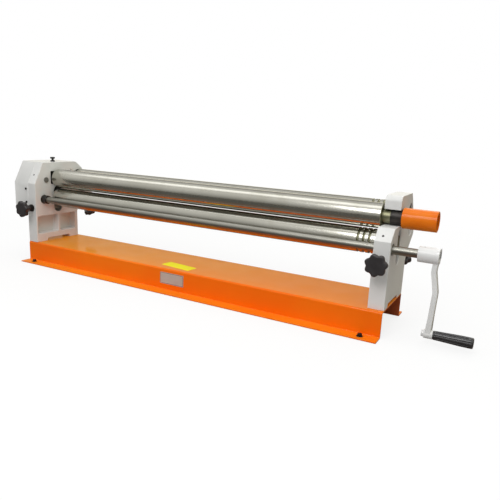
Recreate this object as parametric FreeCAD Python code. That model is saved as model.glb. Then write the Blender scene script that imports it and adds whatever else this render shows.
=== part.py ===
import FreeCAD, Part
import math
import os

# Slip roll machine: two driven rolls in front, one forming roll behind, hand crank.
# X runs along the rolls (crank end positive), Y away from the operator, Z up.
# The origin is the centre of the base's underside.  All sizes are millimetres.

# ---------------------------------------------------------------- base channel
BASE_LENGTH = 1400.0
BASE_TOP_WIDTH = 217.0
BASE_HEIGHT = 75.0
BASE_SHEET = 4.0
BASE_BEND_R = 6.0
FLANGE_WIDTH = 41.0
FLANGE_HOLE_R = 6.5
FLANGE_HOLE_FROM_END = 50.0

# ---------------------------------------------------------------- rolls
ROLL_R = 36.0
ROLL_GAP = 3.0
ROLL_END_GAP = 9.0
LOWER_AXIS_Z = 243.5
REAR_AXIS_Y = 112.0
REAR_AXIS_Z = 315.0
NECK_R = 20.0
JOURNAL_R = 15.0
GEAR_SEAT_R = 12.0
ROLL_EDGE = 1.5
UPPER_ROLL_REACH = 5.0
WIRE_GROOVE_R = 3.6
WIRE_GROOVES = 3
WIRE_GROOVE_PITCH = 16.5
WIRE_GROOVE_FROM_END = 21.0

# ---------------------------------------------------------------- housings
HOUSING_THICKNESS = 46.0
CROWN_CLEARANCE = 2.5
RIGHT_TOP_DROP = 3.0
RIGHT_BACK_TOP = 109.0
RIGHT_BACK_ROUND = 5.0
RIGHT_LEG_BACK = 106.0
LEFT_BACK_TOP = 95.0
LEFT_BACK_ROUND = 14.0
LEFT_LEG_BACK = 97.0
RIGHT_FRONT = -94.0
RIGHT_CHAMFER_FOOT = 264.0
RIGHT_CHAMFER_HEAD = -63.0
HORN_FRONT = -18.0
HORN_ROUND = 17.0
LEFT_FRONT = -107.0
LEFT_CHAMFER_DROP = 80.0
LEFT_CHAMFER_HEAD = -66.0
MOUTH_R = 22.0
ARCH_FRONT = -58.0
ARCH_BACK = 52.0
ARCH_HEIGHT = 11.0
POCKET_DEPTH = 31.0
POCKET_FLOOR = 107.0
POCKET_TOP = 176.0
POCKET_WALL = 7.0
POCKET_RIB = 9.0
POCKET_RIB_Y = 3.0
POCKET_ROUND = 5.0
OIL_HOLE_R = 2.0
OIL_HOLE_DEPTH = 10.0
CHAMFER_OIL_HOLE_RISE = 0.4
CHAMFER_OIL_HOLE_SHIFT = 3.0
SIDE_OIL_HOLE_R = 2.5
SIDE_OIL_HOLE_Y = 70.0
SIDE_OIL_HOLE_Z = 348.0

# ---------------------------------------------------------------- bearing blocks
SLOT_R = 19.0
SLOT_TOP = 287.0
SLOT_BOTTOM = 186.0
BLOCK_FIT = 0.3
BLOCK_PROUD = 2.0
BLOCK_RECESS = 4.0
LOWER_BLOCK_HALF_HEIGHT = 22.0
JOURNAL_FIT = 0.05
GUIDE_ANGLE = 27.5
GUIDE_R = 26.0
GUIDE_UP = 9.0
GUIDE_DOWN = 45.0
REAR_BLOCK_TAIL = 12.0
ARM_WALL = 6.0
ARM_HEAD = 32.0
ARM_FOOT = 92.0

# ---------------------------------------------------------------- screws, wedges, star knobs
WEDGE_SLOPE = 0.25
WEDGE_WIDTH = 26.0
WEDGE_LENGTH = 46.0
WEDGE_FLOOR = 196.0
WEDGE_TRAVEL_OUT = 10.0
WEDGE_TRAVEL_IN = 8.0
WEDGE_FIT = 0.1
FRONT_SCREW_Z = 208.0
FRONT_SCREW_R = 5.0
REAR_SCREW_R = 8.0
SCREW_FIT = 0.06
COLLAR_R = 9.5
COLLAR_WIDTH = 5.0
GLAND_R = 14.0
GLAND_FLANGE = 4.0
GLAND_SPIGOT_R = 11.0
GLAND_SPIGOT = 8.0
KNOB_R = 31.0
REAR_KNOB_R = 26.0
KNOB_LOBES = 7
KNOB_TURN = 7.0
KNOB_THICKNESS = 17.0
KNOB_HUB_R = 13.0
KNOB_HUB = 18.0
KNOB_STANDOFF = 43.0
REAR_KNOB_DROP = 170.0

# ---------------------------------------------------------------- drive shaft and crank
SHAFT_Y = -66.0
SHAFT_Z = 240.0
SHAFT_R = 12.0
SHAFT_FIT = 0.06
PINION_SEAT_R = 9.0
DRIVE_BUSH_R = 17.0
DRIVE_BUSH_RECESS = 6.0
SHAFT_COLLAR_R = 16.0
SHAFT_COLLAR_WIDTH = 21.5
SHAFT_COLLAR_GAP = 0.5
CRANK_HUB_GAP = 67.0
CRANK_HUB_LENGTH = 54.0
CRANK_HUB_R = 21.0
CRANK_RADIUS = 212.0
CRANK_ARM_FROM_HUB_END = 8.0
CRANK_ARM_THICKNESS = 13.0
CRANK_ARM_WIDTH = 22.0
CRANK_ARM_BOW = 8.0
CRANK_BOSS_R = 12.0
CRANK_BOSS_LENGTH = 24.0
CRANK_BOSS_SHIFT = 3.0
GRIP_LENGTH = 100.0
GRIP_R = 14.5
GRIP_END_ROUND = 2.5
GRIP_NECK_R = 10.0
GRIP_FLUTES = 12
GRIP_FLUTE_R = 2.2
GRIP_HEAD_SEAT = 10.0
SPINDLE_R = 5.0

# ---------------------------------------------------------------- gears
ROLL_GEAR_TEETH = 18
ROLL_GEAR_MODULE = 4.0
ROLL_GEAR_WIDTH = 14.0
ROLL_GEAR_THINNING = 0.8
DRIVE_PINION_TEETH = 8
DRIVE_GEAR_TEETH = 18
DRIVE_GEAR_MODULE = 5.0
DRIVE_GEAR_WIDTH = 16.0
DRIVE_GEAR_THINNING = 1.95
GEAR_FACE_GAP = 8.0
GEAR_PLANE_GAP = 8.0
PRESSURE_ANGLE = 20.0
GEAR_HUB_R = 18.0
END_WASHER = 3.0
SEAT_FIT = 0.03

# ---------------------------------------------------------------- upper roll's swivel and handle
SWIVEL_WIDTH = 44.0
SWIVEL_TRAVEL = 9.0
SWIVEL_HEIGHT_UP = 28.0
SWIVEL_HEIGHT_DOWN = 22.0
SWIVEL_STRAP = 5.0
SWIVEL_STRAP_WIDTH = 24.0
SWIVEL_PIN_R = 5.0
SWIVEL_LUG = 10.0
SWIVEL_GEAR_CLEARANCE = 2.0
SWIVEL_LUG_CLEARANCE = 1.0
BUSH_PLAY = 0.3
TUBE_LENGTH = 92.0
TUBE_R = 28.5
TUBE_WALL = 4.0
TUBE_SPIGOT = 16.0

# ---------------------------------------------------------------- gear cover
COVER_DEPTH = 77.0
COVER_WALL = 3.0
COVER_LAP = 7.0
COVER_BOTTOM = 184.0
COVER_BACK = 72.0
COVER_TOP_BACK = 88.0
COVER_RELIEF_DROP = 18.0
COVER_RELIEF_HEIGHT = 24.0
COVER_FIT = 0.3
COVER_RIM = 6.0
COVER_RIM_LENGTH = 12.0
COVER_SCREW_HEIGHTS = (229.0, 280.0)
COVER_SCREW_R = 2.5
COVER_SCREW_SETBACK = 5.5
COVER_SCREW_HEAD_R = 4.3
COVER_SCREW_HEAD = 2.4

# ---------------------------------------------------------------- fasteners and oil cup
FOOT_BOLT_R = 6.0
FOOT_BOLT_HEAD_R = 10.4
FOOT_BOLT_HEAD = 7.5
FOOT_BOLT_DEPTH = 18.0
FOOT_BOLT_FRONT = -83.0
FOOT_BOLT_BACK = 79.0
PLUG_Y = -54.5
PLUG_Z = 314.5
PLUG_R = 8.5
OIL_CUP_R = 7.8
OIL_CUP_HEIGHT = 18.0

# ---------------------------------------------------------------- worked-out places
HOUSING_OUTER = BASE_LENGTH / 2
HOUSING_INNER = HOUSING_OUTER - HOUSING_THICKNESS
HOUSING_MIDDLE = HOUSING_OUTER - HOUSING_THICKNESS / 2
ROLL_END = HOUSING_INNER - ROLL_END_GAP
UPPER_AXIS_Z = LOWER_AXIS_Z + 2 * ROLL_R + ROLL_GAP
MOUTH_FLOOR = UPPER_AXIS_Z - MOUTH_R
MOUTH_ROOF = UPPER_AXIS_Z + MOUTH_R
BLOCK_INNER = HOUSING_INNER - BLOCK_PROUD
BLOCK_OUTER = HOUSING_OUTER - BLOCK_RECESS
ROLL_GEAR_OUTER = HOUSING_OUTER + GEAR_FACE_GAP + ROLL_GEAR_WIDTH
ROLL_GEAR_MIDDLE = ROLL_GEAR_OUTER - ROLL_GEAR_WIDTH / 2
DRIVE_GEAR_INNER = ROLL_GEAR_OUTER + GEAR_PLANE_GAP
DRIVE_GEAR_OUTER = DRIVE_GEAR_INNER + DRIVE_GEAR_WIDTH
COVER_OUTER = HOUSING_OUTER + COVER_DEPTH - COVER_LAP
COVER_INNER = HOUSING_OUTER - COVER_LAP
CRANK_HUB_START = HOUSING_OUTER + CRANK_HUB_GAP
CRANK_HUB_END = CRANK_HUB_START + CRANK_HUB_LENGTH
CRANK_ARM_X = CRANK_HUB_END - CRANK_ARM_FROM_HUB_END
CRANK_BOSS_START = CRANK_ARM_X - CRANK_BOSS_LENGTH / 2 + CRANK_BOSS_SHIFT
CRANK_BOSS_END = CRANK_BOSS_START + CRANK_BOSS_LENGTH
GRIP_Z = SHAFT_Z - CRANK_RADIUS
ROLL_GEAR_TIP = ROLL_GEAR_TEETH * ROLL_GEAR_MODULE / 2 + ROLL_GEAR_MODULE
STRAP_TOP = UPPER_AXIS_Z + ROLL_GEAR_TIP + SWIVEL_GEAR_CLEARANCE + SWIVEL_STRAP
LUG_FLOOR = STRAP_TOP + SWIVEL_LUG_CLEARANCE
LUG_TOP = LUG_FLOOR + SWIVEL_LUG
HOUSING_TOP = LUG_TOP + CROWN_CLEARANCE + COVER_WALL
LEFT_CHAMFER_FOOT = HOUSING_TOP - LEFT_CHAMFER_DROP
WINDOW_ROOF = UPPER_AXIS_Z + SWIVEL_HEIGHT_UP + BLOCK_FIT
WINDOW_FLOOR = UPPER_AXIS_Z - SWIVEL_HEIGHT_DOWN - BLOCK_FIT
LEFT_HAND = -1
RIGHT_HAND = 1
SIDES = (("left", LEFT_HAND), ("right", RIGHT_HAND))
FRONT_FACES = {"left": LEFT_FRONT, "right": RIGHT_FRONT}

AXIS_X = FreeCAD.Vector(1, 0, 0)
AXIS_Y = FreeCAD.Vector(0, 1, 0)
AXIS_Z = FreeCAD.Vector(0, 0, 1)
SIN_GUIDE = math.sin(math.radians(GUIDE_ANGLE))
COS_GUIDE = math.cos(math.radians(GUIDE_ANGLE))
GUIDE = FreeCAD.Vector(0, -SIN_GUIDE, COS_GUIDE)


# ---------------------------------------------------------------- helpers
def vec(x, y, z):
    return FreeCAD.Vector(x, y, z)


def save(name, *solids):
    """Write one node; several solids stay apart in it."""
    shape = solids[0] if len(solids) == 1 else Part.makeCompound(list(solids))
    shape.exportStep("parts/" + name + ".step")


def block(x0, x1, y0, y1, z0, z1):
    return Part.makeBox(x1 - x0, y1 - y0, z1 - z0, vec(x0, y0, z0))


def rod_x(radius, x0, x1, y=0.0, z=0.0):
    return Part.makeCylinder(radius, x1 - x0, vec(x0, y, z), AXIS_X)


def rod_y(radius, y0, y1, x, z):
    return Part.makeCylinder(radius, y1 - y0, vec(x, y0, z), AXIS_Y)


def rod_z(radius, z0, z1, x, y):
    return Part.makeCylinder(radius, z1 - z0, vec(x, y, z0), AXIS_Z)


def ring_x(outer, inner, x0, x1, y=0.0, z=0.0):
    return rod_x(outer, x0, x1, y, z).cut(rod_x(inner, x0 - 1, x1 + 1, y, z))


def mirrored(shape):
    """The same piece for the other end of the machine."""
    return shape.mirror(vec(0, 0, 0), AXIS_X)


def handed(shape, hand):
    return shape if hand == RIGHT_HAND else mirrored(shape)


def on_guide(along, across=0.0):
    """(y, z) of a point measured from the rear roll's axis, along its guide and across it."""
    return (REAR_AXIS_Y - along * SIN_GUIDE + across * COS_GUIDE,
            REAR_AXIS_Z + along * COS_GUIDE + across * SIN_GUIDE)


def rounded_wire(corners, place):
    """A closed wire through (a, b, radius) corners; place(a, b) gives the point in space."""
    flat = [FreeCAD.Vector(a, b, 0) for a, b, _ in corners]
    edges = []
    last = None
    first = None
    for i, (_, _, radius) in enumerate(corners):
        here = flat[i]
        back = (flat[i - 1] - here).normalize()
        ahead = (flat[(i + 1) % len(flat)] - here).normalize()
        if radius > 0:
            half = back.getAngle(ahead) / 2
            reach = radius / math.tan(half)
            toward = (back + ahead).normalize()
            start = here + back * reach
            end = here + ahead * reach
            middle = here + toward * (radius / math.sin(half) - radius)
        else:
            start = end = here
        if last is not None and (start - last).Length > 1e-6:
            edges.append(Part.LineSegment(place(last.x, last.y), place(start.x, start.y)).toShape())
        if radius > 0:
            edges.append(Part.Arc(place(start.x, start.y), place(middle.x, middle.y),
                                  place(end.x, end.y)).toShape())
        first = start if first is None else first
        last = end
    if (first - last).Length > 1e-6:
        edges.append(Part.LineSegment(place(last.x, last.y), place(first.x, first.y)).toShape())
    return Part.Wire(edges)


def slab_x(corners, x0, x1):
    """A plate between two X planes with a rounded (y, z, radius) outline."""
    wire = rounded_wire(corners, lambda y, z: vec(x0, y, z))
    return Part.Face(wire).extrude(vec(x1 - x0, 0, 0))


def slab_y(corners, y0, y1):
    """A plate between two Y planes with a rounded (x, z, radius) outline."""
    wire = rounded_wire(corners, lambda x, z: vec(x, y0, z))
    return Part.Face(wire).extrude(vec(0, y1 - y0, 0))


def turned(profile, y=0.0, z=0.0):
    """A piece turned about an axis along X from its (x, radius) profile."""
    wire = Part.makePolygon([vec(x, r, 0) for x, r in profile + profile[:1]])
    piece = Part.Face(wire).revolve(vec(0, 0, 0), AXIS_X, 360)
    piece.translate(vec(0, y, z))
    return piece


def obround_x(radius, low, high, x0, x1):
    """A straight slot with round ends between two (y, z) centres."""
    run = vec(0, high[0] - low[0], high[1] - low[1])
    side = vec(0, -run.z, run.y).normalize() * radius
    tip = vec(0, run.y, run.z).normalize() * radius
    a = vec(x0, low[0], low[1])
    b = a + run
    edges = [
        Part.LineSegment(a + side, b + side).toShape(),
        Part.Arc(b + side, b + tip, b - side).toShape(),
        Part.LineSegment(b - side, a - side).toShape(),
        Part.Arc(a - side, a - tip, a + side).toShape(),
    ]
    return Part.Face(Part.Wire(edges)).extrude(vec(x1 - x0, 0, 0))


def gear(teeth, module, thinning, x0, x1, turn):
    """A spur gear about the X axis; thinning is taken off each tooth for backlash."""
    pitch_r = teeth * module / 2
    base_r = pitch_r * math.cos(math.radians(PRESSURE_ANGLE))
    tip_r = pitch_r + module
    root_r = pitch_r - 1.25 * module

    def involute(radius):
        lean = math.acos(min(1.0, base_r / radius))
        return math.tan(lean) - lean

    def half_angle(radius):
        at_pitch = math.pi / (2 * teeth) - thinning / (2 * pitch_r)
        return at_pitch + involute(pitch_r) - involute(max(radius, base_r))

    radii = [root_r, max(base_r, root_r), (base_r + pitch_r) / 2, pitch_r, (pitch_r + tip_r) / 2, tip_r]
    radii = sorted(set(round(r, 6) for r in radii if r >= root_r))
    points = []
    for tooth in range(teeth):
        centre = turn + 2 * math.pi * tooth / teeth
        rising = [(centre - half_angle(r), r) for r in radii]
        falling = [(centre + half_angle(r), r) for r in reversed(radii)]
        points += [vec(x0, r * math.sin(a), r * math.cos(a)) for a, r in rising + falling]
    wire = Part.makePolygon(points + points[:1])
    return Part.Face(wire).extrude(vec(x1 - x0, 0, 0))


def moved(shape, y, z):
    shape.translate(vec(0, y, z))
    return shape


# ---------------------------------------------------------------- base
def base_channel():
    """Bent-sheet hat channel: a flat top, two webs and two outward flanges."""
    web = BASE_TOP_WIDTH / 2
    edge = web + FLANGE_WIDTH
    inner = BASE_BEND_R - BASE_SHEET
    corners = [
        (-edge, 0, 0), (-edge, BASE_SHEET, 0), (-web, BASE_SHEET, inner),
        (-web, BASE_HEIGHT, BASE_BEND_R), (web, BASE_HEIGHT, BASE_BEND_R),
        (web, BASE_SHEET, inner), (edge, BASE_SHEET, 0), (edge, 0, 0),
        (web - BASE_SHEET, 0, BASE_BEND_R), (web - BASE_SHEET, BASE_HEIGHT - BASE_SHEET, inner),
        (BASE_SHEET - web, BASE_HEIGHT - BASE_SHEET, inner), (BASE_SHEET - web, 0, BASE_BEND_R),
    ]
    channel = slab_x(corners, -BASE_LENGTH / 2, BASE_LENGTH / 2)
    hole_x = BASE_LENGTH / 2 - FLANGE_HOLE_FROM_END
    hole_y = web + FLANGE_WIDTH / 2
    for x in (-hole_x, hole_x):
        for y in (-hole_y, hole_y):
            channel = channel.cut(rod_z(FLANGE_HOLE_R, -1, BASE_SHEET + 1, x, y))
    for x, y in foot_bolt_places():
        channel = channel.cut(rod_z(FOOT_BOLT_R + SEAT_FIT, BASE_HEIGHT - BASE_SHEET - 1,
                                    BASE_HEIGHT + 1, x, y))
    return channel


def foot_bolt_places():
    return [(hand * HOUSING_MIDDLE, y) for _, hand in SIDES for y in (FOOT_BOLT_FRONT, FOOT_BOLT_BACK)]


def foot_bolt(x, y):
    """A hexagon bolt put in from under the base top into a housing's foot."""
    under = BASE_HEIGHT - BASE_SHEET
    corners = [vec(x + FOOT_BOLT_HEAD_R * math.cos(math.radians(60 * k)),
                   y + FOOT_BOLT_HEAD_R * math.sin(math.radians(60 * k)),
                   under - FOOT_BOLT_HEAD) for k in range(7)]
    head = Part.Face(Part.makePolygon(corners)).extrude(vec(0, 0, FOOT_BOLT_HEAD))
    return head.fuse(rod_z(FOOT_BOLT_R, under, BASE_HEIGHT + FOOT_BOLT_DEPTH, x, y))


# ---------------------------------------------------------------- housings
def arm_outline(top, back_top, back_round, leg_back):
    """The back of a housing: its top corner, the arm beside the rear roll's guide, and the leg."""
    reach = GUIDE_R + ARM_WALL
    return [
        (back_top, top, back_round),
        (*on_guide(ARM_HEAD, reach), 22),
        (*on_guide(-ARM_FOOT, reach + 4), 12),
        (leg_back + 12, LOWER_AXIS_Z - SLOT_R - 24, 12),
        (leg_back, POCKET_TOP + 2, 14),
        (leg_back, BASE_HEIGHT, 0),
    ]


def common_cuts(housing, front):
    """Slots, bores and the foot arch that both housings share, drawn at the crank end."""
    x0 = HOUSING_INNER - 1
    x1 = HOUSING_OUTER + 1
    housing = housing.cut(obround_x(SLOT_R, (0, SLOT_BOTTOM + SLOT_R), (0, SLOT_TOP - SLOT_R), x0, x1))
    housing = housing.cut(obround_x(GUIDE_R, on_guide(-GUIDE_DOWN), on_guide(GUIDE_UP), x0, x1))
    housing = housing.cut(rod_x(DRIVE_BUSH_R, x0, x1, SHAFT_Y, SHAFT_Z))
    arch = [(ARCH_FRONT, BASE_HEIGHT - 1, 0), (ARCH_FRONT, BASE_HEIGHT + ARCH_HEIGHT, 5),
            (ARCH_BACK, BASE_HEIGHT + ARCH_HEIGHT, 5), (ARCH_BACK, BASE_HEIGHT - 1, 0)]
    housing = housing.cut(slab_x(arch, x0, x1))
    half = WEDGE_WIDTH / 2 + 1
    reach = WEDGE_LENGTH / 2
    housing = housing.cut(block(HOUSING_MIDDLE - half, HOUSING_MIDDLE + half,
                                -reach - WEDGE_TRAVEL_OUT, reach + WEDGE_TRAVEL_IN,
                                WEDGE_FLOOR - WEDGE_FIT, wedge_top(reach) + 2))
    screw_bore = FRONT_SCREW_R + 1
    housing = housing.cut(rod_y(screw_bore, front - 1, -reach, HOUSING_MIDDLE, FRONT_SCREW_Z))
    seat = front + GLAND_SPIGOT + COLLAR_WIDTH + 1
    housing = housing.cut(rod_y(GLAND_SPIGOT_R, front - 1, seat, HOUSING_MIDDLE, FRONT_SCREW_Z))
    low = on_guide(-ARM_FOOT - GUIDE_R)
    housing = housing.cut(Part.makeCylinder(REAR_SCREW_R + SCREW_FIT, ARM_FOOT + GUIDE_R - GUIDE_DOWN,
                                            vec(HOUSING_MIDDLE, *low), GUIDE))
    for y in (FOOT_BOLT_FRONT, FOOT_BOLT_BACK):
        housing = housing.cut(rod_z(FOOT_BOLT_R + SEAT_FIT, BASE_HEIGHT - 1,
                                    BASE_HEIGHT + FOOT_BOLT_DEPTH + 4, HOUSING_MIDDLE, y))
    return housing


def foot_pockets(housing, front, leg_back):
    """Two cast pockets on the inner face with a rib between them."""
    rib_front = POCKET_RIB_Y - POCKET_RIB / 2
    rib_back = POCKET_RIB_Y + POCKET_RIB / 2
    for y0, y1 in ((front + POCKET_WALL, rib_front), (rib_back, leg_back - 2 * POCKET_WALL)):
        outline = [(y0, POCKET_FLOOR, POCKET_ROUND), (y0, POCKET_TOP, POCKET_ROUND),
                   (y1, POCKET_TOP, POCKET_ROUND), (y1, POCKET_FLOOR, POCKET_ROUND)]
        housing = housing.cut(slab_x(outline, HOUSING_INNER - 1, HOUSING_INNER + POCKET_DEPTH))
    return housing


def chamfer_oil_hole(foot, head, x):
    """A small hole square to the sloping front face between two (y, z) corners."""
    slope = vec(0, head[0] - foot[0], head[1] - foot[1])
    mouth = vec(x, *foot) + slope * CHAMFER_OIL_HOLE_RISE
    into = vec(0, slope.z, -slope.y).normalize()
    return Part.makeCylinder(OIL_HOLE_R, OIL_HOLE_DEPTH + 1, mouth - into, into)


def right_housing():
    """C-shaped housing whose mouth lets the upper roll swing out to the front."""
    outline = [
        (RIGHT_FRONT, BASE_HEIGHT, 0),
        (RIGHT_FRONT, RIGHT_CHAMFER_FOOT, 3),
        (RIGHT_CHAMFER_HEAD, MOUTH_FLOOR, 3),
        (HORN_FRONT, MOUTH_FLOOR, 0),
        (HORN_FRONT, HOUSING_TOP - RIGHT_TOP_DROP, HORN_ROUND),
    ] + arm_outline(HOUSING_TOP - RIGHT_TOP_DROP, RIGHT_BACK_TOP, RIGHT_BACK_ROUND, RIGHT_LEG_BACK)
    housing = slab_x(outline, HOUSING_INNER, HOUSING_OUTER)
    x0 = HOUSING_INNER - 1
    x1 = HOUSING_OUTER + 1
    housing = housing.cut(block(x0, x1, HORN_FRONT - 1, 0, MOUTH_FLOOR, MOUTH_ROOF))
    housing = housing.cut(rod_x(MOUTH_R, x0, x1, 0, UPPER_AXIS_Z))
    housing = common_cuts(housing, RIGHT_FRONT)
    housing = foot_pockets(housing, RIGHT_FRONT, RIGHT_LEG_BACK)
    return housing.cut(chamfer_oil_hole((RIGHT_FRONT, RIGHT_CHAMFER_FOOT), (RIGHT_CHAMFER_HEAD, MOUTH_FLOOR),
                                        HOUSING_MIDDLE - CHAMFER_OIL_HOLE_SHIFT))


def left_housing():
    """Closed housing with the upper roll's swivel window and a rim for the gear cover."""
    outline = [
        (LEFT_FRONT, BASE_HEIGHT, 0),
        (LEFT_FRONT, LEFT_CHAMFER_FOOT, 3),
        (LEFT_CHAMFER_HEAD, HOUSING_TOP, 3),
    ] + arm_outline(HOUSING_TOP, LEFT_BACK_TOP, LEFT_BACK_ROUND, LEFT_LEG_BACK)
    housing = slab_x(outline, HOUSING_INNER, HOUSING_OUTER)
    rim_out = COVER_WALL + COVER_FIT
    lap = cover_outline(0, COVER_INNER, HOUSING_OUTER + 1)
    housing = housing.cut(lap.cut(cover_outline(rim_out, COVER_INNER, HOUSING_OUTER + 1)))
    rim_end = HOUSING_OUTER + COVER_RIM_LENGTH
    rim = cover_outline(rim_out, HOUSING_OUTER - 1, rim_end)
    rim = rim.cut(cover_outline(rim_out + COVER_RIM, HOUSING_OUTER, rim_end + 1))
    housing = housing.fuse(rim)
    half = SWIVEL_WIDTH / 2
    window = [(-half - SWIVEL_TRAVEL, WINDOW_FLOOR, 2), (-half - SWIVEL_TRAVEL, WINDOW_ROOF, 2),
              (half + BLOCK_FIT, WINDOW_ROOF, 0), (half + BLOCK_FIT, WINDOW_FLOOR, 0)]
    housing = housing.cut(slab_x(window, HOUSING_INNER - 1, HOUSING_OUTER + 1))
    housing = common_cuts(housing, LEFT_FRONT)
    housing = foot_pockets(housing, LEFT_FRONT, LEFT_LEG_BACK)
    lug_half = SWIVEL_STRAP_WIDTH / 2
    lug = block(HOUSING_OUTER - 1, ROLL_GEAR_MIDDLE + lug_half, -lug_half, lug_half, LUG_FLOOR, LUG_TOP)
    housing = housing.fuse(lug)
    housing = housing.cut(rod_z(SWIVEL_PIN_R + SHAFT_FIT, LUG_FLOOR - 1, HOUSING_TOP - COVER_WALL,
                                ROLL_GEAR_MIDDLE, 0))
    housing = housing.cut(rod_z(OIL_HOLE_R, WINDOW_ROOF - 1, HOUSING_TOP + 1, HOUSING_MIDDLE, 0))
    housing = housing.cut(rod_x(PLUG_R, HOUSING_INNER - 1, HOUSING_INNER + 8, PLUG_Y, PLUG_Z))
    for y, z in cover_screw_places():
        housing = housing.cut(cover_screw_hole(y, z, COVER_SCREW_R + SEAT_FIT))
    housing = housing.cut(rod_x(SIDE_OIL_HOLE_R, HOUSING_INNER - 1, HOUSING_INNER + OIL_HOLE_DEPTH,
                                SIDE_OIL_HOLE_Y, SIDE_OIL_HOLE_Z))
    housing = housing.cut(chamfer_oil_hole((LEFT_FRONT, LEFT_CHAMFER_FOOT),
                                           (LEFT_CHAMFER_HEAD, HOUSING_TOP), HOUSING_MIDDLE))
    return mirrored(housing)


# ---------------------------------------------------------------- gear cover
def cover_outline(inset, x0, x1):
    """The gear cover's outline between two X planes, pulled in by a wall."""
    relief = HOUSING_TOP - COVER_RELIEF_DROP
    corners = [
        (LEFT_FRONT, COVER_BOTTOM), (LEFT_FRONT, LEFT_CHAMFER_FOOT),
        (LEFT_CHAMFER_HEAD, HOUSING_TOP), (COVER_TOP_BACK, HOUSING_TOP),
        (COVER_TOP_BACK, relief), (COVER_BACK, relief - COVER_RELIEF_HEIGHT),
        (COVER_BACK, COVER_BOTTOM),
    ]
    wire = Part.makePolygon([vec(x0, y, z) for y, z in corners + corners[:1]])
    if inset > 0:
        wire = wire.makeOffset2D(-inset, 2)
    return Part.Face(wire).extrude(vec(x1 - x0, 0, 0))


def cover_screw_hole(y, z, radius):
    """A hole through the cover's front or back wall and the rim behind it."""
    length = COVER_WALL + COVER_FIT + COVER_RIM + 2
    start = y - 1 if y < 0 else y + 1 - length
    return rod_y(radius, start, start + length, HOUSING_OUTER + COVER_SCREW_SETBACK, z)


def gear_cover():
    """Cover over the gears, open towards the housing and slipped over its rim."""
    shell = cover_outline(0, COVER_INNER, COVER_OUTER)
    shell = shell.cut(cover_outline(COVER_WALL, COVER_INNER - 1, COVER_OUTER - COVER_WALL))
    for y, z in cover_screw_places():
        shell = shell.cut(cover_screw_hole(y, z, COVER_SCREW_R + SEAT_FIT))
    return mirrored(shell)


def cover_screw_places():
    return [(y, z) for y in (LEFT_FRONT, COVER_BACK) for z in COVER_SCREW_HEIGHTS]


def cover_screw(y, z):
    """A button screw through the cover's wall into the rim."""
    inward = 1 if y < 0 else -1
    x = -HOUSING_OUTER - COVER_SCREW_SETBACK
    inner = y + inward * (COVER_WALL + COVER_FIT + COVER_RIM)
    outer = y - inward * COVER_SCREW_HEAD
    shank = rod_y(COVER_SCREW_R, min(y, inner), max(y, inner), x, z)
    return shank.fuse(rod_y(COVER_SCREW_HEAD_R, min(y, outer), max(y, outer), x, z))


# ---------------------------------------------------------------- lower roll, blocks and wedges
def wedge_top(y):
    """Height of the sliding slope at one Y, at rest."""
    return LOWER_AXIS_Z - LOWER_BLOCK_HALF_HEIGHT + WEDGE_SLOPE * y - WEDGE_FIT


def lower_block():
    """Bearing block that slides in the upright slot and rests on the wedge."""
    half = SLOT_R - BLOCK_FIT
    top = LOWER_AXIS_Z + LOWER_BLOCK_HALF_HEIGHT
    outline = [
        (-half, wedge_top(-half) + WEDGE_FIT, 0), (-half, top, 2),
        (half, top, 2), (half, wedge_top(half) + WEDGE_FIT, 0),
    ]
    piece = slab_x(outline, BLOCK_INNER, BLOCK_OUTER)
    return piece.cut(rod_x(JOURNAL_R + JOURNAL_FIT, BLOCK_INNER - 1, BLOCK_OUTER + 1, 0, LOWER_AXIS_Z))


def wedge():
    """Sliding wedge with the adjusting screw's thread through it."""
    reach = WEDGE_LENGTH / 2
    outline = [(-reach, WEDGE_FLOOR, 1), (-reach, wedge_top(-reach), 1),
               (reach, wedge_top(reach), 1), (reach, WEDGE_FLOOR, 1)]
    half = WEDGE_WIDTH / 2
    piece = slab_x(outline, HOUSING_MIDDLE - half, HOUSING_MIDDLE + half)
    return piece.cut(rod_y(FRONT_SCREW_R + SCREW_FIT, -reach - 1, reach + 1,
                           HOUSING_MIDDLE, FRONT_SCREW_Z))


def roll_profile(left, right):
    """Half section of a roll between two lists of (x, radius) steps."""
    body = [(-ROLL_END, ROLL_R - ROLL_EDGE), (-ROLL_END + ROLL_EDGE, ROLL_R),
            (ROLL_END - ROLL_EDGE, ROLL_R), (ROLL_END, ROLL_R - ROLL_EDGE)]
    return left + body + right


def wire_grooves(roll, z, y=0.0):
    """Round grooves near the crank end that take wire and rod."""
    for k in range(WIRE_GROOVES):
        x = ROLL_END - WIRE_GROOVE_FROM_END - k * WIRE_GROOVE_PITCH
        ring = Part.makeTorus(ROLL_R, WIRE_GROOVE_R, vec(x, y, z), AXIS_X)
        roll = roll.cut(ring)
    return roll


def gear_end(outer):
    """Steps of a roll's left end with a gear seat up to one X plane."""
    seat_start = HOUSING_OUTER + GEAR_FACE_GAP
    return [(-outer, 0.0), (-outer, GEAR_SEAT_R - 1), (-outer + 1, GEAR_SEAT_R),
            (-seat_start, GEAR_SEAT_R), (-seat_start, JOURNAL_R)]


def lower_roll():
    neck = BLOCK_INNER - BLOCK_FIT
    left = gear_end(DRIVE_GEAR_OUTER) + [(-neck, JOURNAL_R), (-neck, NECK_R), (-ROLL_END, NECK_R)]
    right = [(ROLL_END, NECK_R), (neck, NECK_R), (neck, JOURNAL_R),
             (BLOCK_OUTER - 1, JOURNAL_R), (BLOCK_OUTER, JOURNAL_R - 1), (BLOCK_OUTER, 0.0)]
    return wire_grooves(turned(roll_profile(left, right), 0, LOWER_AXIS_Z), LOWER_AXIS_Z)


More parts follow.
